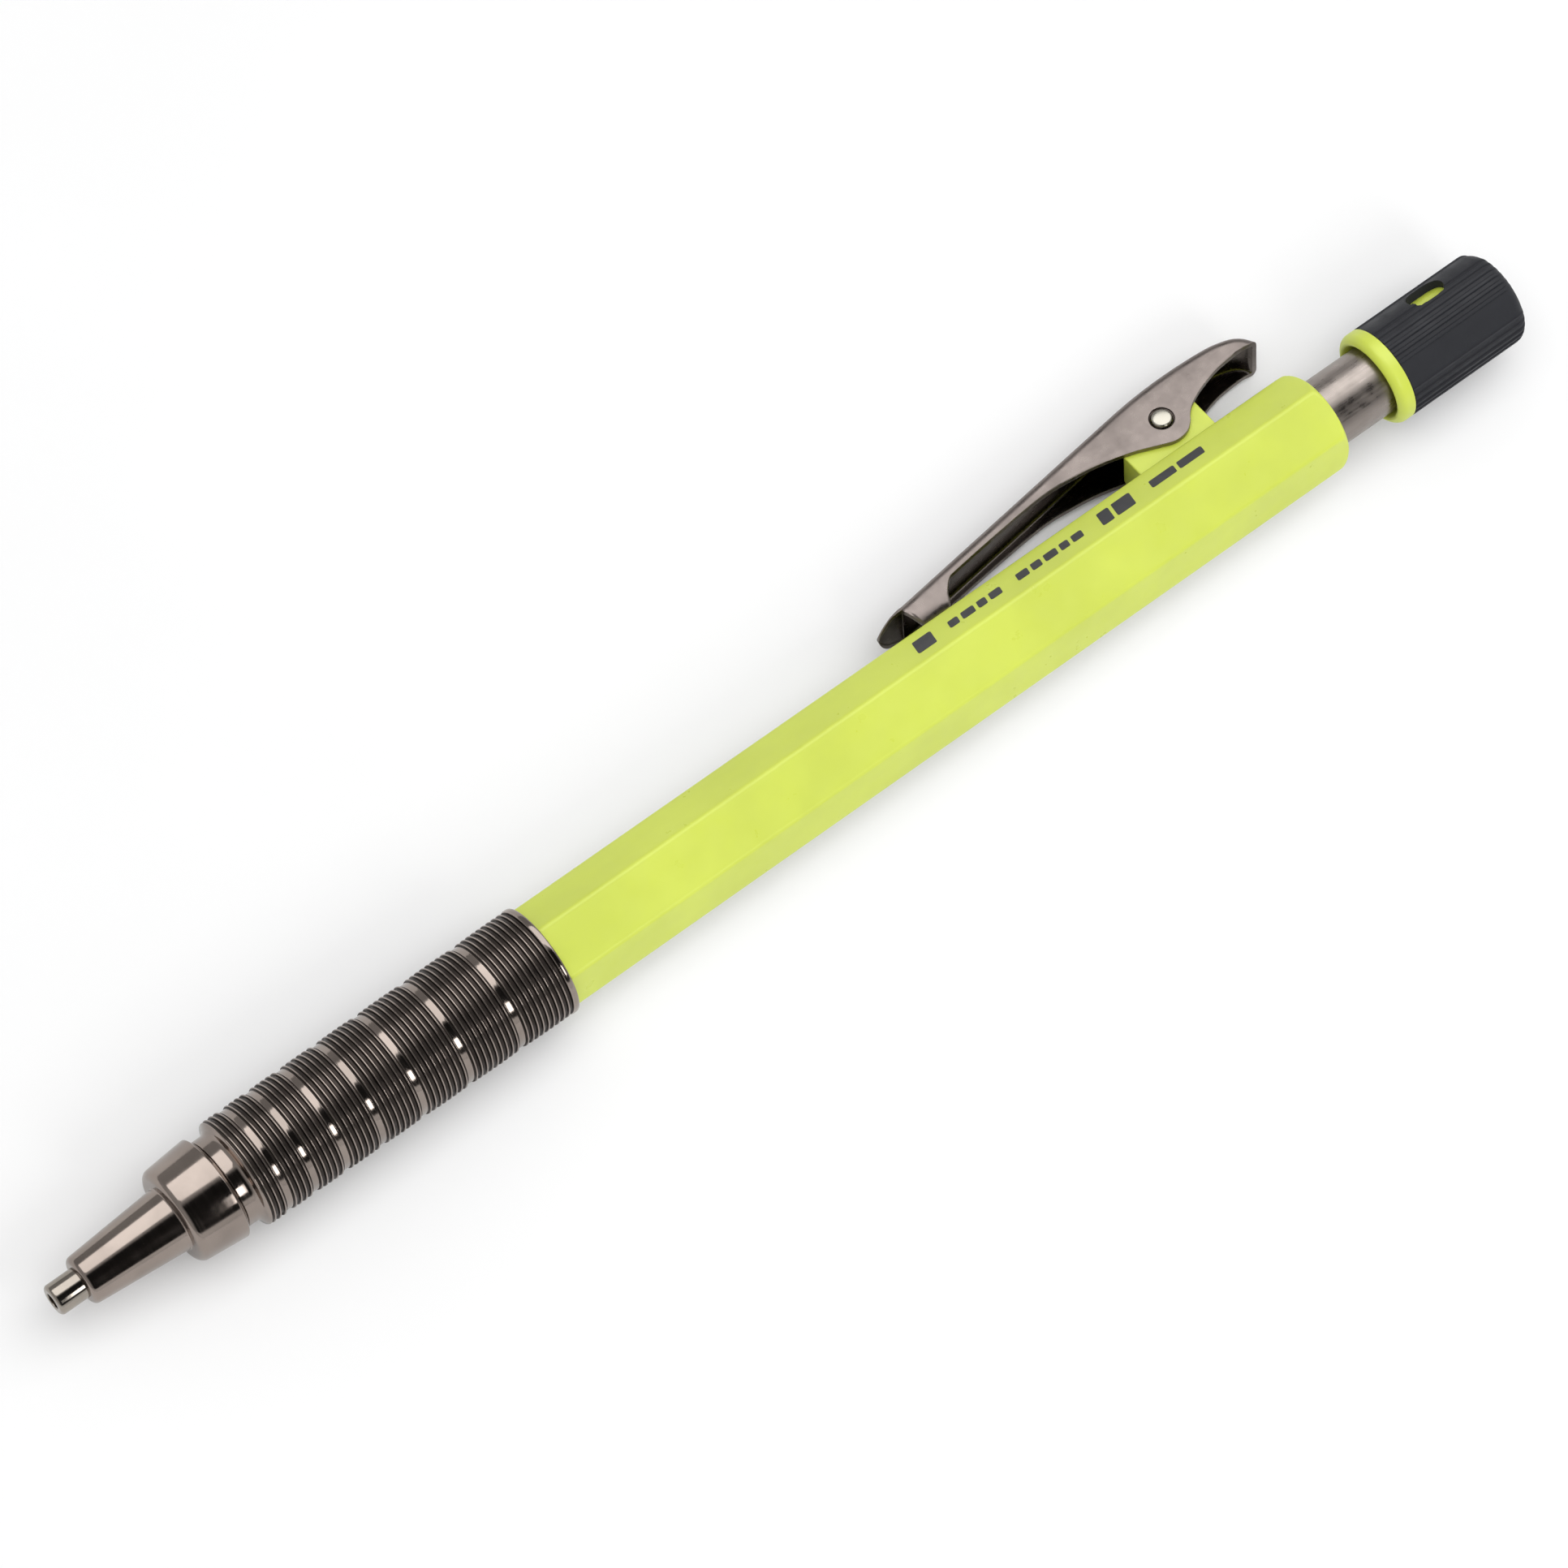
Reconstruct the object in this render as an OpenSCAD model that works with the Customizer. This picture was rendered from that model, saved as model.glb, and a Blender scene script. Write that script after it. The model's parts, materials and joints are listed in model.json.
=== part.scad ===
// Mechanical pencil for thick lead: ribbed metal grip, hexagonal barrel, screw-off tip, spring clip on a
// pivot, and a push button that is also the cap over an eraser.
// The pencil lies along X with the tip's end face at the origin. Inside the modules the clip faces +Z;
// pose() then rolls the pencil so that it lies on its grip and on one long edge of the clip.

/* [Lead] */
// Diameter of the lead
lead_d = 1.3; // [1.1:0.1:1.3]
// Length of one stick of lead
lead_l = 60; // [50:1:60]
// How far the lead in use sits inside the guide pipe
lead_recess = 0.4; // [0.2:0.1:1]

/* [Tip] */
// Outer diameter of the guide pipe
pipe_d = 2.75; // [2.5:0.05:2.8]
// Length of the guide pipe that shows
pipe_l = 2.65; // [1.6:0.05:3]
// Length of the tapered nose
cone_l = 8.9; // [8.5:0.1:9.5]
// Diameter of the nose at its front edge
cone_front_d = 4.3; // [4.1:0.05:4.5]
// Diameter of the nose where it meets the collar
cone_rear_d = 5.7; // [5.5:0.1:6.2]
// Length of the collar behind the nose
collar_l = 4.75; // [4.5:0.05:5.5]
// Collar diameter at its front shoulder
collar_front_d = 8.5; // [8:0.1:8.8]
// Collar diameter at its widest
collar_rear_d = 9.27; // [9:0.01:9.5]
// Diameter at the seam between tip and grip
neck_d = 8.07; // [7.8:0.01:8.4]
// Advance of the tip's thread for one turn
thread_pitch = 0.75; // [0.5:0.05:1]

/* [Grip] */
// Grip diameter over the first ribs
grip_front_d = 9.8; // [9.5:0.05:9.9]
// Grip diameter over the last ribs
grip_rear_d = 9.97; // [9.9:0.01:10.4]
// Distance from rib to rib
rib_pitch = 0.513; // [0.5:0.001:0.53]
// Depth of the grooves between ribs
rib_depth = 0.24; // [0.1:0.01:0.3]
// Depth of the smooth bands between groups of ribs
band_depth = 0.17; // [0.1:0.01:0.25]
// Number of rib groups, each one rib longer than the one before
rib_groups = 8; // [8:1:8]
// Number of ribs in the first group
first_group_ribs = 3; // [3:1:3]

/* [Barrel] */
// Barrel size across its flats
barrel_af = 8.05; // [8:0.01:8.4]
// Barrel size across its rounded corners
barrel_corner_d = 9.12; // [8.9:0.01:9.3]
// Length of the barrel that shows
barrel_l = 81; // [81:0.05:83]
// Rounding of the barrel's rear edge
barrel_round = 1; // [0.5:0.1:1.2]

/* [Clip] */
// Outer width of the clip channel
clip_w = 5; // [4.8:0.1:5.2]
// Sheet thickness of the clip
clip_t = 0.5; // [0.4:0.05:0.6]
// Height of the clip's pivot above the pencil's axis
pivot_h = 7; // [6.9:0.05:7.1]
// Distance from the pivot forward to the rounded front end of the clip
nose_reach = 30.6; // [29.6:0.2:31.6]
// Distance from the pivot forward to the front of the cheeks' feet, which rest on the barrel
foot_reach = 27.6; // [26:0.2:28]
// Slope of the clip's straight back
clip_slope = 7.8; // [7.4:0.1:8]
// Diameter of the pivot pin
pin_d = 1.72; // [1.6:0.01:1.8]
// Furthest the clip opens, in degrees
clip_open = 14; // [10:1:14]

/* [Push button] */
// Outer diameter of the push tube
tube_d = 6.2; // [6.2:0.05:6.2]
// Gap between barrel and button at rest
button_gap = 5.45; // [4.5:0.05:5.5]
// Travel of the push button
push_travel = 4; // [3:0.5:4]
// Length of the coloured lip ahead of the ribbed sleeve
lip_l = 1.5; // [1.4:0.1:2.4]
// Length of the ribbed sleeve
sleeve_l = 12.5; // [12:0.1:13]
// Diameter over the sleeve's ribs
sleeve_d = 8.62; // [8.4:0.02:8.8]
// Turn of the sleeve's window from the clip
window_turn = -59; // [-90:1:-30]

/* [Hidden] */

$fn = 96;
eps = 0.5;         // how far a cutter runs past the face it opens
fixed_gap = 0.01;  // clearance between pieces that don't move on each other
run_gap = 0.05;    // clearance between pieces that do

// Stations along the pencil
x_collar = pipe_l + cone_l;
x_seam = x_collar + collar_l;
x_ribs = x_seam + 1.45;
function ribs_in(g) = first_group_ribs + g;
function group_start(g) = g == 0 ? x_ribs : group_start(g - 1) + rib_pitch * (ribs_in(g - 1) + 1);
x_barrel = group_start(rib_groups);
x_barrel_end = x_barrel + barrel_l;
x_cap = x_barrel_end + button_gap;
x_sleeve = x_cap + lip_l;
x_end = x_sleeve + sleeve_l;
x_pivot = x_barrel_end - 11.05;

// Lead guide and tip
lead_r = lead_d / 2;
pipe_r = pipe_d / 2;
pipe_in = pipe_l + 4.6;             // inner end of the guide pipe
pipe_root_r = pipe_r - 0.2;         // the pipe's root, pressed into the nose up to its shoulder
retainer_l = 2.1;
pocket_end = pipe_in + retainer_l + 0.25;
cavity_r = 2.1;
ring_travel = push_travel / 4;      // lead and clutch ring move a quarter of the button's travel
x_stop = x_seam - 1.25;             // shoulder inside the collar that stops the clutch ring

// Clutch
ring_x = x_stop + ring_travel + 0.02;
ring_l = 2.4;
ring_r = 2.35;
sleeve_in_r = ring_r + run_gap;
clutch_r = 2.7;
clutch_x = x_stop + 0.2;
spigot_r = 3.2;                     // tip's threaded spigot
spigot_end = x_seam + 5.95;
flange_x = x_seam + 6.15;
flange_l = 2;
grip_bore_r = 3.5;
head_r = 1.9;
stem_r = 1.35;
chuck_x = ring_x - 1.82;
chuck_l = 22;
taper_x = ring_x + 0.38;            // where the chuck's head starts to narrow
taper_l = 2.8;
coupling_x = chuck_x + 18;
coupling_l = 14;
coupling_seat = 4.2;                // how far the chuck reaches into the coupling

// Lead tube, push tube and eraser
store_r = 1.7;
store_out_r = 2.3;
store_x = coupling_x + 8;
store_end = x_barrel_end - 11.5;
tube_r = tube_d / 2;
tube_in_r = tube_r - 0.4;
tube_x = store_end - 8;
tube_end = x_sleeve + 8.9;
barrel_bore_r = tube_r + run_gap;
insert_l = 20;
insert_x = x_barrel - 12;
ferrule_x = tube_end - 6.4;
ferrule_r = tube_in_r - run_gap;
eraser_r = 2.4;
eraser_end = tube_end + 1.6;

// Cap
core_bore_r = tube_r + run_gap;
core_r = 3.45;
core_end = eraser_end + 0.2;
sleeve_r = sleeve_d / 2;
lip_r = sleeve_r;
sleeve_rib = 0.12;
rib_step = 10;                      // degrees from rib to rib; nine steps make a quarter
ribs_per_quarter = 6;
first_rib = window_turn + 31;

// Clip outline, in millimetres from the pivot (u) and from the pencil's axis (w)
rest_w = barrel_af / 2 + 0.02;
knee = [-3, pivot_h + 3.1];
hump_r = 44.9;
hump_end = -5;
tail_r = 9;
tail_end = -20;
lip_turn_r = 2.7;
lip_end = -75;
hump_c = knee + hump_r * [sin(clip_slope), -cos(clip_slope)];
tail_c = hump_c + (hump_r - tail_r) * [-sin(hump_end), cos(hump_end)];
tail_lip_c = tail_c + (tail_r - lip_turn_r) * [-sin(tail_end), cos(tail_end)];
nose_plan_r = clip_w / 2 + 0.1;      // rounding of the front end seen from above
nose_lip = 0.25;                    // how far the sheet turns down along the front end
lobe_r = 2.43;
bend_cut = 0.47;                    // flat that stands for the bend along the clip's edges
hole_r = pin_d / 2 + 0.04;

// Roll that lays the pencil on its grip and on the clip's long edge
hump_top = hump_c[1] + hump_r;
edge = [clip_w / 2, hump_top - bend_cut];
clip_roll = acos(-(grip_rear_d / 2) / norm(edge)) - atan(edge[0] / edge[1]);

// Points of an arc about c, from angle a to angle b
function arc(c, r, a, b, n) = [for (i = [0:n]) c + r * [cos(a + (b - a) * i / n), sin(a + (b - a) * i / n)]];

// Rolls a piece from the modelling frame, clip up, to the resting pose
module pose() {
    rotate([-clip_roll, 0, 0])
        children();
}

// Turned piece about the X axis, from [x, radius] points
module turned(points) {
    rotate([0, 90, 0])
        rotate_extrude()
            polygon([for (p = points) [p[1], p[0]]]);
}

// Round bar about the X axis
module bar(x0, x1, r) {
    translate([x0, 0, 0])
        rotate([0, 90, 0])
            cylinder(h = x1 - x0, r = r);
}

// Ring of round wire about the X axis
module hoop(x, r, wire_r) {
    translate([x, 0, 0])
        rotate([0, 90, 0])
            rotate_extrude()
                translate([r, 0])
                    circle(r = wire_r);
}

// Plate with its outline in the X-Z plane, centred on Y
module plate(w) {
    rotate([90, 0, 0])
        linear_extrude(height = w, center = true)
            children();
}

// Wire along a list of points, drawn as an n-sided tube; ref is never along the wire
module wire(path, r, ref, n = 8) {
    last = len(path) - 1;
    points = [
        for (i = [0:last])
            let (t = path[min(i + 1, last)] - path[max(i - 1, 0)])
            let (side = cross(t, ref) / norm(cross(t, ref)))
            let (up = cross(side, t) / norm(t))
            for (k = [0:n - 1]) path[i] + r * (cos(360 * k / n) * side + sin(360 * k / n) * up)
    ];
    skin = [
        for (i = [0:last - 1])
            for (k = [0:n - 1])
                [i * n + k, i * n + (k + 1) % n, (i + 1) * n + (k + 1) % n, (i + 1) * n + k]
    ];
    ends = [[for (k = [n - 1:-1:0]) k], [for (k = [0:n - 1]) last * n + k]];
    polyhedron(points = points, faces = concat(skin, ends), convexity = 10);
}

// Steel guide pipe that the lead runs out of
module tip_pipe() {
    edge_r = 0.2;
    bore_r = lead_r + run_gap;
    color("silver")
        turned(concat(
            [[pipe_in, bore_r], [0.1, bore_r], [0, bore_r + 0.1]],
            arc([edge_r, pipe_r - edge_r], edge_r, 180, 90, 4),
            [[pipe_l - fixed_gap, pipe_r], [pipe_l - fixed_gap, pipe_root_r], [pipe_in, pipe_root_r]]
        ));
}

// Tapered nose, collar and threaded spigot in one turned piece
module tip_cone() {
    front_r = cone_front_d / 2;
    rear_r = cone_rear_d / 2;
    nose_round = 0.65;
    shoulder = 0.75;
    collar_end = x_seam - 0.4;
    thread_turns = 6;
    color([0.3, 0.28, 0.27])
        turned(concat(
            [[pipe_l, pipe_root_r + fixed_gap]],
            arc([pipe_l + nose_round, front_r - nose_round], nose_round, 180, 95, 5),
            [[x_collar - 0.15, rear_r], [x_collar, rear_r + 0.1]],
            arc([x_collar + shoulder, collar_front_d / 2 - shoulder], shoulder, 180, 95, 5),
            [[collar_end - 0.25, collar_rear_d / 2], [collar_end, collar_rear_d / 2 - 0.1]],
            [[x_seam - 0.06, neck_d / 2], [x_seam - 0.06, spigot_r - 0.25], [x_seam + 0.5, spigot_r - 0.25]],
            [
                for (i = [0:thread_turns - 1])
                    for (p = [[0.08, 0], [0.3, 0], [0.52, -0.25], [0.64, -0.25]])
                        [x_seam + 0.5 + i * thread_pitch + p[0] * thread_pitch / 0.75, spigot_r + p[1]]
            ],
            [[spigot_end - 0.3, spigot_r - 0.1], [spigot_end, spigot_r - 0.3]],
            [[spigot_end, clutch_r + run_gap], [x_stop, clutch_r + run_gap], [x_stop, cavity_r]],
            [[pocket_end + 0.6, cavity_r], [pocket_end, 1.2], [pocket_end - 0.1, 1.2]],
            [[pocket_end - 0.1, 1.6], [pipe_in, 1.6], [pipe_in, pipe_root_r + fixed_gap]]
        ));
}

// Rubber ring that holds the lead while the jaws reach back
module lead_retainer() {
    x0 = pipe_in + 0.05;
    out_r = 1.6 - run_gap;
    in_r = lead_r + 0.02;
    color([0.15, 0.15, 0.16])
        turned([
            [x0, in_r + 0.35],
            [x0, out_r],
            [x0 + 0.6, out_r],
            [x0 + 0.75, out_r - 0.15],
            [x0 + 1.25, out_r - 0.15],
            [x0 + 1.4, out_r],
            [x0 + retainer_l - 0.1, out_r],
            [x0 + retainer_l - 0.1, in_r + 0.3],
            [x0 + 1.3, in_r],
            [x0 + 0.7, in_r]
        ]);
}

// Metal grip with groups of ribs between smooth bands
module grip() {
    function skin(x) = (grip_front_d + (grip_rear_d - grip_front_d) * (x - x_ribs) / (x_barrel - x_ribs)) / 2;
    function crown(g, m) = 0.04 * pow(2 * m / (ribs_in(g) + 1) - 1, 2);
    half_crest = 0.07;
    half_root = 0.06;
    rim = 0.55;
    color([0.33, 0.3, 0.29])
        turned(concat(
            [[x_seam, spigot_r + run_gap], [x_seam, neck_d / 2], [x_seam + 0.95, neck_d / 2]],
            arc([x_ribs, neck_d / 2 + 0.62], 0.62, 225, 270, 2),
            [[x_ribs + 0.12, skin(x_ribs) - band_depth]],
            [
                for (g = [0:rib_groups - 1])
                    for (m = [1:ribs_in(g)])
                        let (x = group_start(g) + m * rib_pitch)
                        let (r = skin(x) - crown(g, m))
                        let (next_root = m == ribs_in(g) ? band_depth + 0.04 : rib_depth)
                        for (p = [
                            [-half_crest, 0],
                            [half_crest, 0],
                            [rib_pitch / 2 - half_root, -next_root],
                            [rib_pitch / 2 + half_root, -next_root]
                        ])
                            if (g < rib_groups - 1 || m < ribs_in(g) || p[0] < rib_pitch / 4)
                                [x + p[0], r + p[1]]
            ],
            [[x_barrel - rim, skin(x_barrel) - rib_depth], [x_barrel - rim + 0.12, skin(x_barrel)]],
            [[x_barrel - 0.15, skin(x_barrel)], [x_barrel, skin(x_barrel) - 0.15]],
            [[x_barrel, grip_bore_r], [flange_x, grip_bore_r], [flange_x, spigot_r + run_gap]]
        ));
}

// Fixed sleeve that guides the clutch ring and carries the return spring
module clutch_sleeve() {
    shoulder_x = ring_x + ring_l + 0.05;
    color([0.85, 0.83, 0.78])
        turned([
            [clutch_x, sleeve_in_r],
            [clutch_x, clutch_r - 0.15],
            [clutch_x + 0.15, clutch_r],
            [flange_x, clutch_r],
            [flange_x, grip_bore_r - fixed_gap - 0.1],
            [flange_x + 0.1, grip_bore_r - fixed_gap],
            [flange_x + flange_l, grip_bore_r - fixed_gap],
            [flange_x + flange_l, 2.6],
            [flange_x, 2.6],
            [flange_x, stem_r + 0.3],
            [shoulder_x, stem_r + 0.3],
            [shoulder_x, sleeve_in_r]
        ]);
}

// Ring that squeezes the jaws; it stops against the collar while the jaws go on
module clutch_ring() {
    gap = 0.03;
    bore_end = head_r - (head_r - stem_r) * (ring_x + ring_l - taper_x) / taper_l + gap;
    color([0.8, 0.62, 0.3])
        turned([
            [ring_x, head_r + gap + 0.1],
            [ring_x, ring_r - 0.15],
            [ring_x + 0.15, ring_r],
            [ring_x + ring_l - 0.15, ring_r],
            [ring_x + ring_l, ring_r - 0.15],
            [ring_x + ring_l, bore_end],
            [taper_x, head_r + gap],
            [ring_x + 0.1, head_r + gap]
        ]);
}

// Brass collet with three jaws that grips the lead
module chuck() {
    slit = 0.3;
    slit_l = 13;
    rear_x = chuck_x + 16;
    end_x = chuck_x + chuck_l;
    bore_r = lead_r + 0.03;
    color([0.83, 0.66, 0.32])
        difference() {
            turned([
                [chuck_x, bore_r + 0.15],
                [chuck_x, head_r - 0.5],
                [chuck_x + 0.5, head_r],
                [taper_x, head_r],
                [taper_x + taper_l, stem_r],
                [rear_x, stem_r],
                [rear_x + 0.3, 1.55],
                [end_x, 1.55],
                [end_x, 1.05],
                [end_x - 0.4, 0.85],
                [chuck_x + 5.4, 0.85],
                [chuck_x + 5, bore_r],
                [chuck_x + 0.2, bore_r]
            ]);
            for (a = [0:120:240])
                rotate([a, 0, 0])
                    translate([chuck_x - eps, -slit / 2, 0])
                        cube([slit_l + eps, slit, head_r + eps]);
        }
}

// Coil spring that pushes the mechanism back after each click
module return_spring() {
    wire_r = 0.2;
    coil_r = 2.05;
    x0 = flange_x + wire_r + 0.02;
    x1 = coupling_x - wire_r - 0.02;
    closed = 1;
    turns = 7.5;
    steps = 16;
    pitch = 2 * wire_r + 0.03;
    free_pitch = (x1 - x0 - 2 * closed * pitch) / (turns - 2 * closed);
    function travel(t) = t < closed ? t * pitch
        : t > turns - closed ? x1 - x0 - (turns - t) * pitch
        : closed * pitch + (t - closed) * free_pitch;
    color([0.75, 0.76, 0.78])
        wire(
            [
                for (i = [0:turns * steps])
                    let (t = i / steps)
                    [x0 + travel(t), coil_r * cos(360 * t), coil_r * sin(360 * t)]
            ],
            wire_r, [1, 0, 0]
        );
}

// Plug that joins the collet to the lead tube and funnels the leads into it
module chuck_coupling() {
    end_x = coupling_x + coupling_l;
    spigot = store_r - fixed_gap;
    color([0.9, 0.9, 0.88])
        turned([
            [coupling_x, 1.55 + fixed_gap],
            [coupling_x, 2.45],
            [coupling_x + 1, 2.45],
            [coupling_x + 1.15, store_out_r],
            [store_x - fixed_gap, store_out_r],
            [store_x - fixed_gap, spigot],
            [end_x - 0.3, spigot],
            [end_x, spigot - 0.15],
            [end_x, 1.45],
            [end_x - 4, 0.9],
            [coupling_x + coupling_seat, 0.9],
            [coupling_x + coupling_seat, 1.55 + fixed_gap]
        ]);
}

// Threaded brass joint between grip and barrel
module barrel_insert() {
    out_r = grip_bore_r - fixed_gap;
    press_r = barrel_bore_r - fixed_gap;
    groove = 0.2;
    color([0.78, 0.6, 0.3])
        turned(concat(
            [[insert_x, 2.6], [insert_x, out_r - 0.3], [insert_x + 0.3, out_r]],
            [
                for (i = [0:11])
                    for (p = [[0, 0], [0.2, -groove], [0.3, -groove], [0.5, 0]])
                        [insert_x + 0.8 + i * thread_pitch + p[0], out_r + p[1]]
            ],
            [[x_barrel - 0.4, out_r], [x_barrel - 0.4, press_r], [x_barrel + 0.4, press_r]],
            [
                for (i = [0:3])
                    for (p = [[0, 0], [0, -groove], [0.6, -groove], [0.6, 0]])
                        [x_barrel + 1.4 + i * 1.5 + p[0], press_r + p[1]]
            ],
            [[insert_x + insert_l - 0.2, press_r], [insert_x + insert_l, press_r - 0.2]],
            [[insert_x + insert_l, 2.6]]
        ));
}

// Hexagonal barrel with the lug that carries the clip
module barrel() {
    corner_r = barrel_corner_d / 2;
    barrel_edge = 0.12;
    lug_w = clip_w - 2 * clip_t - 0.2;
    lug_front = -4.6;
    lug_rear = 3.4;
    slot_w = 1.7;
    slot_floor = 5.1;
    ear_r = 1.9;
    color([0.8, 0.95, 0.25])
        difference() {
            union() {
                intersection() {
                    translate([x_barrel, 0, 0])
                        rotate([0, 90, 0])
                            rotate([0, 0, 30])
                                cylinder(h = barrel_l, d = barrel_af / cos(30), $fn = 6);
                    union() {
                        bar(x_barrel + barrel_edge, x_barrel_end - barrel_round, corner_r);
                        bar(x_barrel, x_barrel_end - barrel_round, corner_r - barrel_edge);
                        bar(x_barrel + 1, x_barrel_end, corner_r - barrel_round);
                        hoop(x_barrel + barrel_edge, corner_r - barrel_edge, barrel_edge);
                        hoop(x_barrel_end - barrel_round, corner_r - barrel_round, barrel_round);
                    }
                }
                translate([x_pivot, 0, 0])
                    plate(lug_w) {
                        polygon([
                            [lug_front, barrel_af / 2 - 0.4],
                            [lug_front, pivot_h - 0.6],
                            ear_r * [cos(129), sin(129)] + [0, pivot_h],
                            ear_r * [cos(51), sin(51)] + [0, pivot_h],
                            [lug_rear, pivot_h + 0.2],
                            [lug_rear, barrel_af / 2 - 0.4]
                        ]);
                        translate([0, pivot_h])
                            circle(r = ear_r);
                    }
            }
            bar(x_barrel - eps, x_barrel_end + eps, barrel_bore_r);
            translate([x_pivot - 2.2, -slot_w / 2, slot_floor])
                cube([lug_rear + 2.2 + eps, slot_w, 5]);
            translate([x_pivot, 0, pivot_h])
                rotate([90, 0, 0])
                    cylinder(h = clip_w, r = pin_d / 2 + fixed_gap, center = true);
        }
}

// Tube that stores the spare leads
module lead_tube() {
    plug_x = store_end - 7;
    plug_r = tube_in_r - fixed_gap;
    color([0.9, 0.92, 0.93, 0.8])
        turned([
            [store_x, store_r],
            [store_x, store_out_r],
            [plug_x, store_out_r],
            [plug_x, plug_r - 0.1],
            [plug_x + 0.1, plug_r],
            [store_end - 0.1, plug_r],
            [store_end, plug_r - 0.1],
            [store_end, store_r + 0.3],
            [store_end - 0.6, store_r]
        ]);
}

// Metal tube that slides in the barrel and carries the button
module push_tube() {
    color([0.7, 0.67, 0.64])
        turned([
            [tube_x, tube_in_r],
            [tube_x, tube_r - 0.1],
            [tube_x + 0.1, tube_r],
            [tube_end - 0.1, tube_r],
            [tube_end, tube_r - 0.1],
            [tube_end, tube_in_r]
        ]);
}

// Thin metal cup that holds the eraser in the push tube
module eraser_ferrule() {
    color([0.8, 0.8, 0.82])
        turned([
            [ferrule_x, 0],
            [ferrule_x, ferrule_r - 0.15],
            [ferrule_x + 0.15, ferrule_r],
            [tube_end + 0.02, ferrule_r],
            [tube_end + 0.02, tube_r - 0.15],
            [tube_end + 0.35, tube_r - 0.15],
            [tube_end + 0.35, eraser_r + fixed_gap],
            [ferrule_x + 0.25, eraser_r + fixed_gap],
            [ferrule_x + 0.25, 0]
        ]);
}

// Eraser under the button
module eraser() {
    round_r = 0.4;
    color("white")
        turned(concat(
            [[ferrule_x + 0.26, 0], [ferrule_x + 0.26, eraser_r]],
            arc([eraser_end - round_r, eraser_r - round_r], round_r, 90, 0, 3),
            [[eraser_end, 0]]
        ));
}

// Coloured core of the button, with the lip that shows ahead of the sleeve
module cap_core() {
    funnel = 0.85;
    rim_r = 0.25;
    front_round = 0.75;
    color([0.8, 0.95, 0.25])
        turned(concat(
            [[x_cap + funnel, core_bore_r]],
            arc([x_cap + rim_r, core_bore_r + 0.55], rim_r, 225, 150, 3),
            arc([x_cap + front_round, lip_r - front_round], front_round, 150, 90, 4),
            [[x_sleeve - fixed_gap, lip_r], [x_sleeve - fixed_gap, core_r]],
            [[core_end + 0.4, core_r], [core_end + 0.4, 0], [core_end, 0], [core_end, core_bore_r]]
        ));
}

// Ribbed black sleeve of the button, closed at the end, with a window onto the core
module cap_sleeve() {
    base_r = sleeve_r - sleeve_rib;
    rib_w = 0.38;
    end_round = 1.2;
    bore_end = core_end + 0.42;
    window_r = 1.35;
    window_x = [x_sleeve + 4.45 + window_r, x_sleeve + 8 - window_r];
    color([0.16, 0.17, 0.19])
        difference() {
            intersection() {
                turned(concat(
                    [[x_sleeve, 0], [x_sleeve, sleeve_r - 0.1], [x_sleeve + 0.1, sleeve_r]],
                    arc([x_end - end_round, sleeve_r - end_round], end_round, 90, 0, 6),
                    [[x_end, 0]]
                ));
                union() {
                    bar(x_sleeve - eps, x_end + eps, base_r);
                    for (q = [0:3])
                        for (i = [0:ribs_per_quarter - 1])
                            rotate([-(first_rib + 90 * q + rib_step * i), 0, 0])
                                translate([x_sleeve - eps, -rib_w / 2, base_r - 1])
                                    cube([sleeve_l + 2 * eps, rib_w, 1 + sleeve_rib + eps]);
                }
            }
            bar(x_sleeve - eps, bore_end, core_r + fixed_gap);
            rotate([-window_turn, 0, 0])
                linear_extrude(height = sleeve_d) {
                    translate([window_x[0], -window_r])
                        square([window_x[1] - window_x[0], 2 * window_r]);
                    for (x = window_x)
                        translate([x, 0])
                            circle(r = window_r);
                }
        }
}

// Point of the clip's straight back at u, moved inward by t
function roof(u, t) = [u, knee[1] + (u - knee[0]) * tan(clip_slope) - t / cos(clip_slope)];

// Outer line of the clip's back, from its front end to the end of its tail, moved inward by t
function clip_back(t) = concat(
    [roof(-nose_reach, t)],
    arc(hump_c, hump_r - t, 90 + clip_slope, 90 + hump_end, 6),
    arc(tail_c, tail_r - t, 90 + hump_end, 90 + tail_end, 3),
    arc(tail_lip_c, lip_turn_r - t, 90 + tail_end, 90 + lip_end, 4)
);

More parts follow.
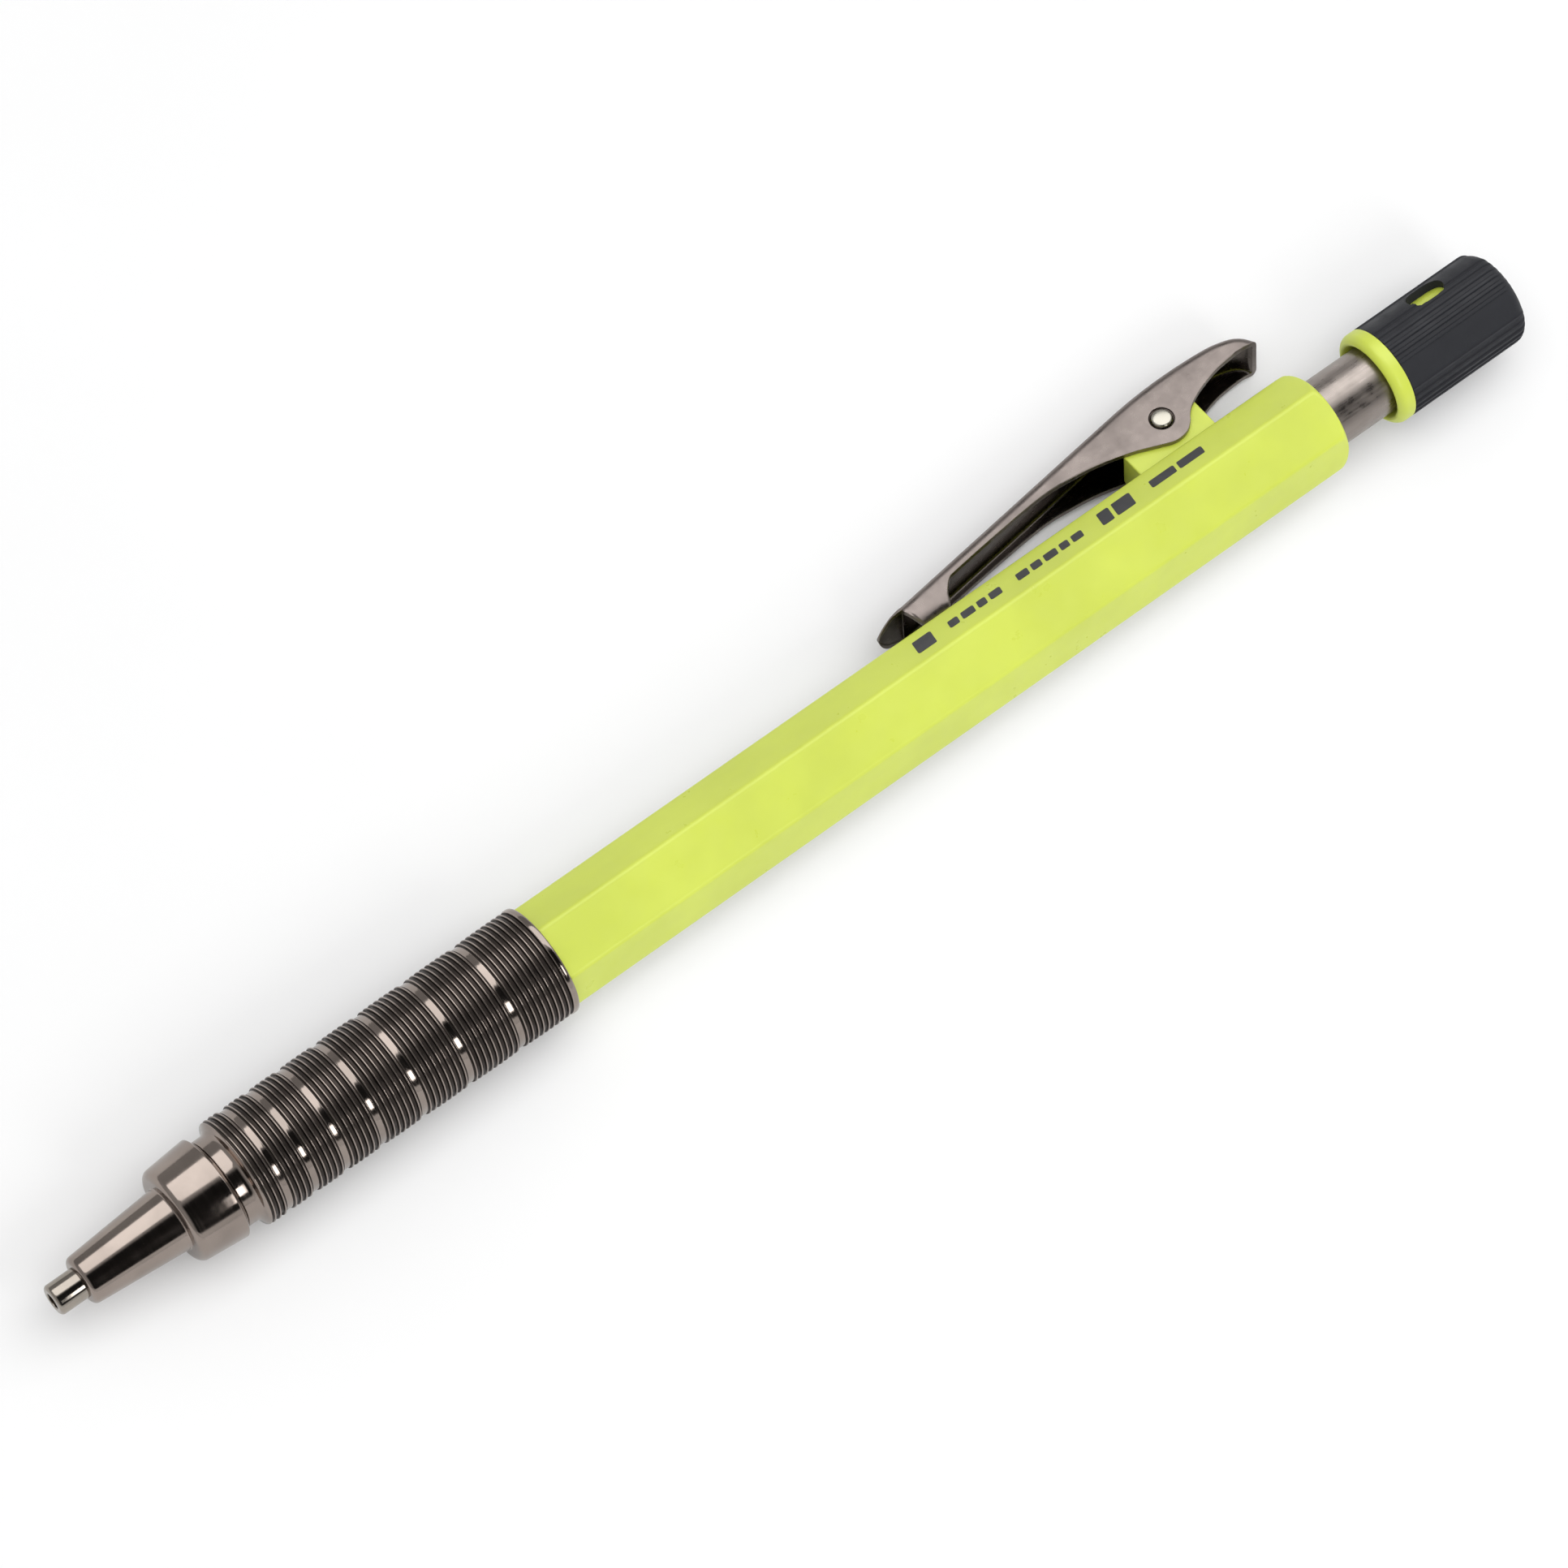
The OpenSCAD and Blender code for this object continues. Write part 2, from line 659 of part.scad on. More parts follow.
// Sheet metal clip, a channel open towards the barrel
module clip() {
    back = clip_back(0);
    cheek_top = -foot_reach - 0.55;
    plan_x = x_pivot - nose_reach + nose_plan_r;
    color([0.58, 0.55, 0.53])
        difference() {
            translate([x_pivot, 0, 0])
                plate(clip_w)
                    polygon(concat(
                        back,
                        [[9.5, 8.2], [6.8, 8.0], [4.6, 7.4], [3.05, 6.65], [2, 5.75]],
                        arc([0, pivot_h], lobe_r, -48, -112, 5),
                        [[-2.4, 5.35], [-3.9, 6], [-6.7, 6.8], [-9.3, 7.22], [-12.4, 7.4]],
                        [[-17.5, 6.9], [-23.1, 6.1], [-24.1, 5], [-24.8, rest_w]],
                        [[-foot_reach, rest_w], roof(cheek_top, clip_t + nose_lip)],
                        [roof(-nose_reach, clip_t + nose_lip)]
                    ));
            translate([x_pivot, 0, 0])
                plate(clip_w - 2 * clip_t)
                    polygon(concat(
                        [[-nose_reach - 1, rest_w - eps], roof(-nose_reach - 1, clip_t)],
                        clip_back(clip_t),
                        [[tail_lip_c[0] + 1.5, rest_w - eps]]
                    ));
            for (side = [-1, 1]) {
                translate([x_pivot, side * (clip_w / 2 - clip_t / 2), pivot_h])
                    rotate([-side * 90, 0, 0])
                        cylinder(h = clip_t / 2 + 0.01, r1 = hole_r, r2 = hole_r + 0.2);
                for (i = [0:len(back) - 2])
                    let (run = back[i + 1] - back[i])
                    translate([x_pivot + back[i][0], side * clip_w / 2, back[i][1]])
                        rotate([0, -atan2(run[1], run[0]), 0])
                            translate([-0.05, 0, 0])
                                rotate([45, 0, 0])
                                    translate([0, -bend_cut / sqrt(2), -bend_cut / sqrt(2)])
                                        cube([norm(run) + 0.1, bend_cut * sqrt(2), bend_cut * sqrt(2)]);
            }
            difference() {
                translate([plan_x - 2 * nose_plan_r, -clip_w, rest_w])
                    cube([2 * nose_plan_r, 2 * clip_w, 4]);
                translate([plan_x, 0, rest_w - 1])
                    cylinder(h = 6, r = nose_plan_r);
            }
            translate([x_pivot, 0, pivot_h])
                rotate([90, 0, 0])
                    cylinder(h = clip_w + 1, r = hole_r, center = true);
        }
}

// Pivot pin of the clip
module clip_pin() {
    head = 0.12;
    half_l = clip_w / 2 + 0.2;
    color([0.88, 0.86, 0.82])
        translate([x_pivot, 0, pivot_h])
            rotate([90, 0, 0])
                rotate_extrude()
                    polygon([
                        [0, -half_l],
                        [pin_d / 2 - head, -half_l],
                        [pin_d / 2, -half_l + head],
                        [pin_d / 2, half_l - head],
                        [pin_d / 2 - head, half_l],
                        [0, half_l]
                    ]);
}

// Torsion spring on the pivot pin that keeps the clip's feet against the barrel
module clip_spring() {
    wire_r = 0.15;
    coil_r = 1.15;
    low = -100;
    high = 104;
    turns = 3;
    sweep = low + 360 - high + 360 * turns;
    steps = 56;
    half_w = 0.6;
    floor_leg = 3.2;
    back_leg = 6.4;
    function rim(a) = coil_r * [cos(a), sin(a)] + [x_pivot, pivot_h];
    foot = rim(low) + floor_leg * [cos(low + 90), sin(low + 90)];
    tail = rim(high) + back_leg * [cos(high - 90), sin(high - 90)];
    color([0.75, 0.76, 0.78])
        wire(
            concat(
                [[foot[0], -half_w, foot[1]]],
                [
                    for (i = [0:steps])
                        let (p = rim(low + 360 - sweep * i / steps))
                        [p[0], -half_w + 2 * half_w * i / steps, p[1]]
                ],
                [[tail[0], half_w, tail[1]]]
            ),
            wire_r, [0, 1, 0]
        );
}

// Stick of lead lying along X
module stick(x0, l) {
    turned([[x0, 0], [x0, lead_r - 0.12], [x0 + 0.12, lead_r], [x0 + l, lead_r], [x0 + l, 0]]);
}

// Lead in use, held by the collet
module feed_lead() {
    color([0.2, 0.2, 0.22])
        stick(lead_recess, lead_l);
}

// Spare leads lying in the lead tube
module spare_leads() {
    lie_r = store_r - lead_r - 0.01;
    color([0.2, 0.2, 0.22])
        for (a = [-80, 0, 80])
            rotate([180 + clip_roll + a, 0, 0])
                translate([0, 0, lie_r])
                    stick(lead_recess + lead_l + push_travel + 1, lead_l);
}

pose() tip_pipe();
pose() tip_cone();
pose() lead_retainer();
pose() grip();
pose() clutch_sleeve();
pose() clutch_ring();
pose() chuck();
pose() return_spring();
pose() chuck_coupling();
pose() barrel_insert();
pose() barrel();
pose() lead_tube();
pose() push_tube();
pose() eraser_ferrule();
pose() eraser();
pose() cap_core();
pose() cap_sleeve();
pose() clip();
pose() clip_pin();
pose() clip_spring();
pose() feed_lead();
pose() spare_leads();
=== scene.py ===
import json
import math

import bmesh
import bpy
import numpy as np
from mathutils import Matrix, Vector


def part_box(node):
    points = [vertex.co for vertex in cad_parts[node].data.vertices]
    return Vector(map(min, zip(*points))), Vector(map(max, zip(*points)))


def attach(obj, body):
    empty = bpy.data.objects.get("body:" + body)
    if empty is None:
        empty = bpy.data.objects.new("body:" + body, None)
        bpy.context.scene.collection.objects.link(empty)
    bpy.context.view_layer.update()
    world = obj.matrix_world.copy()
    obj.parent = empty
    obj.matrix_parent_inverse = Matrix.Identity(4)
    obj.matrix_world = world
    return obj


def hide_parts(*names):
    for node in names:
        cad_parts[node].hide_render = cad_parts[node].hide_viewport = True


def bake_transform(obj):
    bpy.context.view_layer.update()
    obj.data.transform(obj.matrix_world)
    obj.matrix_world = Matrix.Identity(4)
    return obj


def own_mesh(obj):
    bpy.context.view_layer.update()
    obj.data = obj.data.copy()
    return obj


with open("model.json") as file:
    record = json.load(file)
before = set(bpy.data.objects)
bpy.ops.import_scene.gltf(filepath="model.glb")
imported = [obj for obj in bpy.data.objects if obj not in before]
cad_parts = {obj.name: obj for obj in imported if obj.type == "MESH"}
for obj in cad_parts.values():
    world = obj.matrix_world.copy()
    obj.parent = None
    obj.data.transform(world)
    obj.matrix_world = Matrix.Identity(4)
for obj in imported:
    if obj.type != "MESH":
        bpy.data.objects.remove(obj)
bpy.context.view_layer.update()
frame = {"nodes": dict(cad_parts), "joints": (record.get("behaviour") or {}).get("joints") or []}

MM = 0.001

# ---------- the frame, in millimetres

JOINTS = {j["name"]: j for j in frame["joints"]}


def near(node):
    """x of a node's end towards the tip."""
    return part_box(node)[0].x / MM


def far(node):
    """x of a node's end towards the button."""
    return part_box(node)[1].x / MM


def thick(node):
    """Radius of a turned node at its widest."""
    low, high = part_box(node)
    return (high.z - low.z) / 2 / MM


PIVOT = Vector(JOINTS["clip_hinge"]["pos_m"]) / MM
PIVOT_H = math.hypot(PIVOT.y, PIVOT.z)
# Modelling frame: X along the pencil, Z towards the clip. ROLL turns it to the resting pose.
ROLL = math.atan2(PIVOT.y, PIVOT.z)
POSE = Matrix.Rotation(-ROLL, 4, "X")

X_CONE = near("tip_cone")
X_SEAM = near("grip")
X_BARREL = near("barrel")
X_BARREL_END = far("barrel")
X_CAP = near("cap_core")
X_SLEEVE = near("cap_sleeve")
X_END = far("cap_sleeve")
X_PIVOT = PIVOT.x
PIPE_R = thick("tip_pipe")
PIPE_ROOT = PIPE_R - 0.2
GRIP_R = thick("grip")
TUBE_R = thick("push_tube")
SLEEVE_R = thick("cap_sleeve")
THREAD_PITCH = 0.75
BARREL_FLAT = 4.025
FLOOR_Z = -GRIP_R
# gap between pieces that touch, so that their surfaces don't coincide
SKIN_GAP = 0.01
# radius of the neck ahead of the grip, and of the pipe's seat in the nose
NECK_R = 4.035
SEAT_R = PIPE_ROOT + SKIN_GAP

LIME = (0.655, 0.755, 0.088)
INK = (0.035, 0.035, 0.04)

# ---------- mesh helpers


def placed(name, data):
    """New object in the scene."""
    obj = bpy.data.objects.new(name, data)
    bpy.context.scene.collection.objects.link(obj)
    return obj


def to_object(name, verts, faces, sharp=34, looks=(), marks=None):
    """Posed, smooth object from millimetre points; marks gives each face its place among the looks."""
    mesh = bpy.data.meshes.new(name)
    mesh.from_pydata([tuple(v) for v in verts], [], faces)
    for look in looks:
        mesh.materials.append(look)
    if marks:
        mesh.polygons.foreach_set("material_index", marks)
    bm = bmesh.new()
    bm.from_mesh(mesh)
    bmesh.ops.remove_doubles(bm, verts=bm.verts, dist=1e-5)
    bmesh.ops.dissolve_degenerate(bm, edges=bm.edges, dist=1e-6)
    bmesh.ops.recalc_face_normals(bm, faces=bm.faces)
    bmesh.ops.transform(bm, matrix=POSE @ Matrix.Scale(MM, 4), verts=bm.verts)
    bm.to_mesh(mesh)
    bm.free()
    obj = placed(name, mesh)
    smooth(obj, sharp)
    return obj


def smooth(obj, sharp):
    """Smooth shading, with edges over sharp degrees kept."""
    for p in obj.data.polygons:
        p.use_smooth = True
    obj.data.set_sharp_from_angle(angle=math.radians(sharp))


def grid_faces(rows, cols, wrap_rows, wrap_cols):
    """Quads of a rows by cols grid of points."""
    faces = []
    for i in range(rows if wrap_rows else rows - 1):
        for j in range(cols if wrap_cols else cols - 1):
            a, b = i, (i + 1) % rows
            c, d = j, (j + 1) % cols
            faces.append((a * cols + c, b * cols + c, b * cols + d, a * cols + d))
    return faces


def revolve(name, profile, segs=144, sharp=34, looks=(), second=None):
    """Turned about X from a closed (x, radius) outline; a radius may depend on the angle.
    second(x, r) tells which stretches take the second look."""
    angles = [2 * math.pi * k / segs for k in range(segs)]
    verts = []
    for x, r in profile:
        for a in angles:
            here = r(a) if callable(r) else r
            verts.append((x, here * math.sin(a), here * math.cos(a)))
    marks = None
    if second:
        marks = []
        for (x0, r0), (x1, r1) in zip(profile, profile[1:] + profile[:1]):
            marks += [int(second((x0 + x1) / 2, (r0 + r1) / 2))] * segs
    return to_object(name, verts, grid_faces(len(profile), segs, True, True), sharp, looks, marks)


def rounded(path, steps=5):
    """Closed outline from (x, y, fillet) corners."""
    out = []
    n = len(path)
    for i in range(n):
        p0, p1, p2 = (np.array(path[(i + k) % n][:2], float) for k in (-1, 0, 1))
        fillet = path[i][2] if len(path[i]) > 2 else 0
        u, v = p0 - p1, p2 - p1
        lu, lv = np.linalg.norm(u), np.linalg.norm(v)
        if fillet <= 0 or lu < 1e-9 or lv < 1e-9:
            out.append(tuple(p1))
            continue
        u, v = u / lu, v / lv
        half = math.acos(max(-1, min(1, float(u @ v)))) / 2
        if half < 0.01 or half > math.pi / 2 - 0.01:
            out.append(tuple(p1))
            continue
        back = min(fillet / math.tan(half), lu * 0.49, lv * 0.49)
        r = back * math.tan(half)
        centre = p1 + (u + v) / np.linalg.norm(u + v) * (r / math.sin(half))
        a = p1 + u * back - centre
        b = p1 + v * back - centre
        turn = math.pi - 2 * half
        for k in range(steps + 1):
            t = k / steps
            w = (a * math.sin((1 - t) * turn) + b * math.sin(t * turn)) / math.sin(turn)
            out.append(tuple(centre + w))
    return out


def plate_faces(n, base=0):
    """Faces of a plate: its n outline points come once for each side, numbered from base."""
    faces = [tuple(range(base, base + n)), tuple(range(base + n, base + 2 * n))[::-1]]
    faces += [(base + i, base + (i + 1) % n, base + n + (i + 1) % n, base + n + i) for i in range(n)]
    return faces


def prism(name, outline, half_w):
    """Plate with its outline in the X-Z plane, half_w to each side."""
    verts = [(x, side, z) for side in (-half_w, half_w) for x, z in outline]
    return to_object(name, verts, plate_faces(len(outline)))


def on_side(degrees, height, across):
    """(y, z) of a point at a height on the side degrees round from the clip, and across from there."""
    s, c = math.sin(math.radians(degrees)), math.cos(math.radians(degrees))
    return s * height + c * across, c * height - s * across


def dome(x, r, width, drop, degrees):
    """Points over a rounded top at (x, r): at 90 degrees they are width along and drop below it."""
    return [(x + width * math.sin(a), r - drop * (1 - math.cos(a))) for a in map(math.radians, degrees)]


def bevelled(obj, width):
    """Edges rounded in three steps."""
    mod = obj.modifiers.new("round", "BEVEL")
    mod.width = width * MM
    mod.segments = 3
    mod.limit_method = "ANGLE"
    mod.angle_limit = math.radians(40)
    return applied(obj)


def applied(obj, sharp=34):
    """Modifiers written into the mesh."""
    graph = bpy.context.evaluated_depsgraph_get()
    mesh = bpy.data.meshes.new_from_object(obj.evaluated_get(graph))
    obj.modifiers.clear()
    old, obj.data = obj.data, mesh
    mesh.name = obj.name
    bpy.data.meshes.remove(old)
    smooth(obj, sharp)
    return obj


def combine(obj, tool, operation, sharp=34):
    """Exact boolean of obj with tool; the tool goes."""
    mod = obj.modifiers.new("cut", "BOOLEAN")
    mod.operation = operation
    mod.solver = "EXACT"
    mod.object = tool
    bpy.context.view_layer.update()
    applied(obj, sharp)
    bpy.data.objects.remove(tool)
    return obj


def tube(name, path, r, sides=12):
    """Round wire along a list of points, with parallel-carried sections."""
    p = [Vector(q) for q in path]
    tangents = [(p[min(i + 1, len(p) - 1)] - p[max(i - 1, 0)]).normalized() for i in range(len(p))]
    side = tangents[0].orthogonal().normalized()
    verts = []
    for q, t in zip(p, tangents):
        side = (side - t * side.dot(t)).normalized()
        up = t.cross(side)
        for k in range(sides):
            a = 2 * math.pi * k / sides
            verts.append(q + r * (math.cos(a) * side + math.sin(a) * up))
    faces = grid_faces(len(p), sides, False, True)
    faces.append(tuple(range(sides)))
    faces.append(tuple(range(len(verts) - sides, len(verts))))
    return to_object(name, verts, faces, 50)


def arc(centre, r, a, b, n):
    """Points of an arc in a plane, angles in degrees."""
    return [
        (centre[0] + r * math.cos(math.radians(a + (b - a) * i / n)),
         centre[1] + r * math.sin(math.radians(a + (b - a) * i / n)))
        for i in range(n + 1)
    ]


def resampled(points, count):
    """Points at equal steps along a polyline."""
    p = np.array(points, float)
    d = np.concatenate([[0], np.cumsum(np.linalg.norm(np.diff(p, axis=0), axis=1))])
    s = np.linspace(0, d[-1], count)
    return np.stack([np.interp(s, d, p[:, k]) for k in range(p.shape[1])], axis=1)


def curved(points):
    """Catmull-Rom curve through points."""
    per = 10
    p = [np.array(q, float) for q in points]
    p = [2 * p[0] - p[1]] + p + [2 * p[-1] - p[-2]]
    out = []
    for i in range(1, len(p) - 2):
        for k in range(per):
            t = k / per
            out.append(0.5 * (2 * p[i] + (p[i + 1] - p[i - 1]) * t
                              + (2 * p[i - 1] - 5 * p[i] + 4 * p[i + 1] - p[i + 2]) * t * t
                              + (3 * p[i] - p[i - 1] - 3 * p[i + 1] + p[i + 2]) * t ** 3))
    out.append(p[-2])
    return out


# ---------- materials


class Shader:
    """A Principled material with short ways to add procedural detail."""

    def __init__(self, name):
        self.mat = bpy.data.materials.new(name)
        self.mat.use_nodes = True
        self.tree = self.mat.node_tree
        self.tree.nodes.clear()
        self.out = self.add("ShaderNodeOutputMaterial")
        self.bsdf = self.add("ShaderNodeBsdfPrincipled")
        self.link(self.bsdf.outputs[0], self.out.inputs["Surface"])
        self.coord = self.add("ShaderNodeTexCoord").outputs["Object"]
        self.normal = None

    def add(self, kind, **values):
        node = self.tree.nodes.new(kind)
        for key, value in values.items():
            setattr(node, key, value)
        return node

    def link(self, a, b):
        self.tree.links.new(a, b)

    def set(self, **values):
        names = {"metal": "Metallic", "sss": "Subsurface Weight", "sss_scale": "Subsurface Scale",
                 "ior": "IOR", "transmission": "Transmission Weight", "specular": "Specular IOR Level"}
        for key, value in values.items():
            self.bsdf.inputs[names[key]].default_value = value

    def stretched(self, scale):
        node = self.add("ShaderNodeMapping")
        node.inputs["Scale"].default_value = scale
        self.link(self.coord, node.inputs["Vector"])
        return node.outputs[0]

    def noise(self, scale, detail, vector=None, distortion=0.0):
        """Noise with features of about 1/scale of a metre."""
        node = self.add("ShaderNodeTexNoise")
        node.inputs["Scale"].default_value = scale
        node.inputs["Detail"].default_value = detail
        node.inputs["Distortion"].default_value = distortion
        self.link(vector or self.coord, node.inputs["Vector"])
        return node.outputs["Fac"]

    def remap(self, value, a, b, c, d):
        """value with its range a to b turned into c to d."""
        node = self.add("ShaderNodeMapRange")
        for slot, number in zip(("From Min", "From Max", "To Min", "To Max"), (a, b, c, d)):
            node.inputs[slot].default_value = number
        self.link(value, node.inputs["Value"])
        return node.outputs[0]

    def math(self, operation, a, b):
        node = self.add("ShaderNodeMath", operation=operation)
        for slot, value in zip(node.inputs, (a, b)):
            if isinstance(value, (int, float)):
                slot.default_value = value
            else:
                self.link(value, slot)
        return node.outputs[0]

    def mix(self, factor, a, b):
        """Colour between a and b, each a colour or an output."""
        node = self.add("ShaderNodeMix", data_type="RGBA")
        self.link(factor, node.inputs[0])
        for slot, value in ((6, a), (7, b)):
            if isinstance(value, tuple):
                node.inputs[slot].default_value = (*value[:3], 1)
            else:
                self.link(value, node.inputs[slot])
        return node.outputs[2]

    def soft_edges(self, radius):
        """Rounded shading of edges, and a mask that is 1 on them."""
        node = self.add("ShaderNodeBevel", samples=4)
        node.inputs["Radius"].default_value = radius * MM
        self.normal = node.outputs[0]
        geo = self.add("ShaderNodeNewGeometry")
        dot = self.add("ShaderNodeVectorMath", operation="DOT_PRODUCT")
        self.link(node.outputs[0], dot.inputs[0])
        self.link(geo.outputs["Normal"], dot.inputs[1])
        return self.remap(dot.outputs["Value"], 0.995, 0.86, 0, 1)

    def bump(self, height, distance, strength):
        node = self.add("ShaderNodeBump")
        node.inputs["Strength"].default_value = strength
        node.inputs["Distance"].default_value = distance * MM
        self.link(height, node.inputs["Height"])
        if self.normal is not None:
            self.link(self.normal, node.inputs["Normal"])
        self.normal = node.outputs[0]

    def done(self, colour, rough):
        self.link(colour, self.bsdf.inputs["Base Color"])
        self.link(rough, self.bsdf.inputs["Roughness"])
        self.link(self.normal, self.bsdf.inputs["Normal"])
        return self.mat


def scaled(colour, k):
    """Colour k times as bright."""
    return tuple(min(1.0, c * k) for c in colour)


def plastic(name, colour, rough, grain=2200, grain_depth=0.004, sss=0.0, edge=0.12, specular=0.5,
            spill=None):
    """Moulded plastic: faint cloudiness, uneven gloss, mould grain, paler edges that are partly rubbed wear
    and partly a painted highlight along the corners, a little dust.
    """
    dust, dust_colour, edge_wear_and_highlight, spill_share = 0.012, (0.9, 0.9, 0.88), 0.25, 0.85
    s = Shader(name)
    edge_mask = s.soft_edges(edge)
    cloud = s.noise(140, 3)
    fine = s.noise(grain, 3)
    body = s.mix(s.remap(cloud, 0.35, 0.65, 0, 1), scaled(colour, 0.95), scaled(colour, 1.03))
    speck = s.remap(s.noise(5200, 2), 0.72, 0.8, 0, dust)
    body = s.mix(speck, body, dust_colour)
    # paler edges: partly rubbed wear, partly a painted highlight along the corners
    body = s.mix(s.math("MULTIPLY", edge_mask, edge_wear_and_highlight), body, scaled(colour, 1.3))
    if spill:
        # what the plastic throws on matt surfaces near it is nearly neutral
        matt = s.add("ShaderNodeLightPath").outputs["Is Diffuse Ray"]
        body = s.mix(s.math("MULTIPLY", matt, spill_share), body, spill)
    s.bump(fine, grain_depth, 0.6)
    s.set(sss=sss, sss_scale=0.0006, ior=1.5, specular=specular)
    s.bsdf.inputs["Subsurface Radius"].default_value = (1.0, 1.0, 0.25)
    wear = s.remap(s.noise(600, 5), 0.3, 0.7, rough * 0.85, rough * 1.25)
    return s.done(body, wear)


def metal(name, colour, rough, turned=0.0, drawn=0.0, grain=0.0, scratches=0.4):
    """Metal with turning marks round the axis, draw marks along it or grain, and bright rubbed edges."""
    s = Shader(name)
    edge_mask = s.soft_edges(0.1)
    tint = s.noise(260, 4)
    body = s.mix(s.remap(tint, 0.35, 0.65, 0, 1), scaled(colour, 0.9), scaled(colour, 1.08))
    body = s.mix(s.math("MULTIPLY", edge_mask, 0.5), body, scaled(colour, 1.8))
    wear = s.remap(s.noise(900, 6), 0.3, 0.75, rough * 0.7, rough * 1.35)
    if turned:
        rings = s.noise(1.0, 5, s.stretched((9000, 120, 120)))
        s.bump(rings, turned, 0.5)
        wear = s.math("ADD", wear, s.remap(rings, 0.4, 0.7, 0, rough * 0.5))
    if drawn:
        lines = s.noise(1.0, 5, s.stretched((150, 7000, 7000)))
        s.bump(lines, drawn, 0.5)
        wear = s.math("ADD", wear, s.remap(lines, 0.4, 0.7, 0, rough * 0.4))
    if grain:
        s.bump(s.noise(9000, 3), grain, 0.7)
    if scratches:
        hair = s.noise(1.0, 2, s.stretched((400, 5200, 900)), 2.0)
        wear = s.math("ADD", wear, s.remap(hair, 0.68, 0.72, 0, scratches * rough))
    s.set(metal=1.0)
    return s.done(body, wear)


def materials():
    m = {}
    m["lime"] = plastic("lime_plastic", LIME, rough=0.32, sss=0.06, edge=0.15, spill=(0.6, 0.6, 0.58))
    m["black"] = plastic("black_plastic", (0.020, 0.021, 0.026), rough=0.55, grain=5200, grain_depth=0.02,
                         edge=0.06, specular=0.3)
    m["inner"] = plastic("inner_plastic", (0.74, 0.72, 0.65), rough=0.38, sss=0.1)
    m["ink"] = plastic("print_ink", INK, rough=0.42, grain=6000, grain_depth=0.003, edge=0.01)
    m["rubber"] = plastic("black_rubber", (0.02, 0.02, 0.022), rough=0.65, grain=3000, grain_depth=0.01)
    m["vinyl"] = plastic("eraser_vinyl", (0.82, 0.82, 0.79), rough=0.55, grain=1500, grain_depth=0.02,
                         sss=0.2)
    m["dark"] = metal("dark_plated", (0.31, 0.262, 0.232), rough=0.1, turned=0.0004)
    # painted shade: near-black metal laid on the grip's groove walls and floors, where shade falls between
    # the ribs
    m["groove"] = metal("groove_painted_shade", (0.055, 0.045, 0.04), rough=0.4, turned=0.001)
    m["bright"] = metal("bright_steel", (0.42, 0.40, 0.345), rough=0.25, grain=0.002)
    m["pipe"] = metal("pipe_steel", (0.34, 0.305, 0.265), rough=0.1, turned=0.0003)
    m["tube"] = metal("satin_steel", (0.33, 0.29, 0.265), rough=0.3, drawn=0.0002, scratches=0.0)
    m["clip"] = metal("clip_steel", (0.21, 0.18, 0.166), rough=0.32, grain=0.001)
    # painted shade: the clip's own plating painted darker, for the shade inside the channel
    m["clip_in"] = metal("clip_inside_painted_shade", (0.14, 0.12, 0.108), rough=0.2, drawn=0.0004)
    m["spring"] = metal("spring_steel", (0.55, 0.54, 0.53), rough=0.25, drawn=0.001)
    m["brass"] = metal("brass", (0.76, 0.54, 0.22), rough=0.2, turned=0.002)
    m["lead"] = graphite()
    m["tube_plastic"] = frosted()
    return m


def graphite():
    """Pencil lead: grey sheen drawn out along it."""
    s = Shader("graphite")
    sheen = s.noise(1.0, 5, s.stretched((300, 5000, 5000)))
    body = s.mix(s.remap(sheen, 0.35, 0.7, 0, 1), (0.03, 0.03, 0.035), (0.09, 0.09, 0.1))
    s.bump(sheen, 0.004, 0.6)
    s.set(metal=0.35)
    return s.done(body, s.remap(s.noise(2500, 4), 0.3, 0.7, 0.3, 0.5))


def frosted():
    """Translucent moulded tube."""
    s = Shader("frosted_plastic")
    cloud = s.noise(300, 4)
    body = s.mix(s.remap(cloud, 0.35, 0.65, 0, 1), (0.86, 0.89, 0.9), (0.95, 0.96, 0.96))
    s.bump(s.noise(2400, 3), 0.004, 0.5)
    s.set(transmission=0.7, ior=1.45)
    return s.done(body, s.remap(s.noise(1200, 4), 0.3, 0.7, 0.22, 0.36))


def finish_piece(obj, body, slot, material, *nodes):
    """Rides on a CAD body, or on none, in place of CAD nodes."""
    if material:
        obj.data.materials.clear()
        obj.data.materials.append(material)
    if body:
        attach(obj, body)
    if nodes:
        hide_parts(*nodes)
    return obj


# ---------- tip and grip


def build_pipe(m):
    """Guide pipe: a rounded end, a bore and a small lead-in."""
    bore, bore_edge, end_round = 0.7, 0.08, 0.34
    inner_end = far("tip_pipe")
    shoulder = X_CONE - SKIN_GAP
    outline = rounded([
        (inner_end, bore), (0, bore, bore_edge), (0, PIPE_R, end_round), (shoulder, PIPE_R),
        (shoulder, PIPE_ROOT), (inner_end, PIPE_ROOT, 0.05)
    ], 8)
    return finish_piece(revolve("tip_pipe_v", outline, 96), "tip_body", "bright_steel", m["pipe"], "tip_pipe")


def thread_radius(x, start, end, crest, depth):
    """Radius of a helical ridge at x as a function of the angle; it runs out at both ends."""
    flank, run_out = 0.36, 0.4
    fade = max(0.0, min(1.0, (x - start) / run_out, (end - x) / run_out))

    def radius(a):
        turn = ((x - start) / THREAD_PITCH - a / (2 * math.pi)) % 1.0
        ridge = 1 - min(1.0, abs(turn - 0.5) / flank)
        return crest - depth + depth * ridge * fade

    return radius


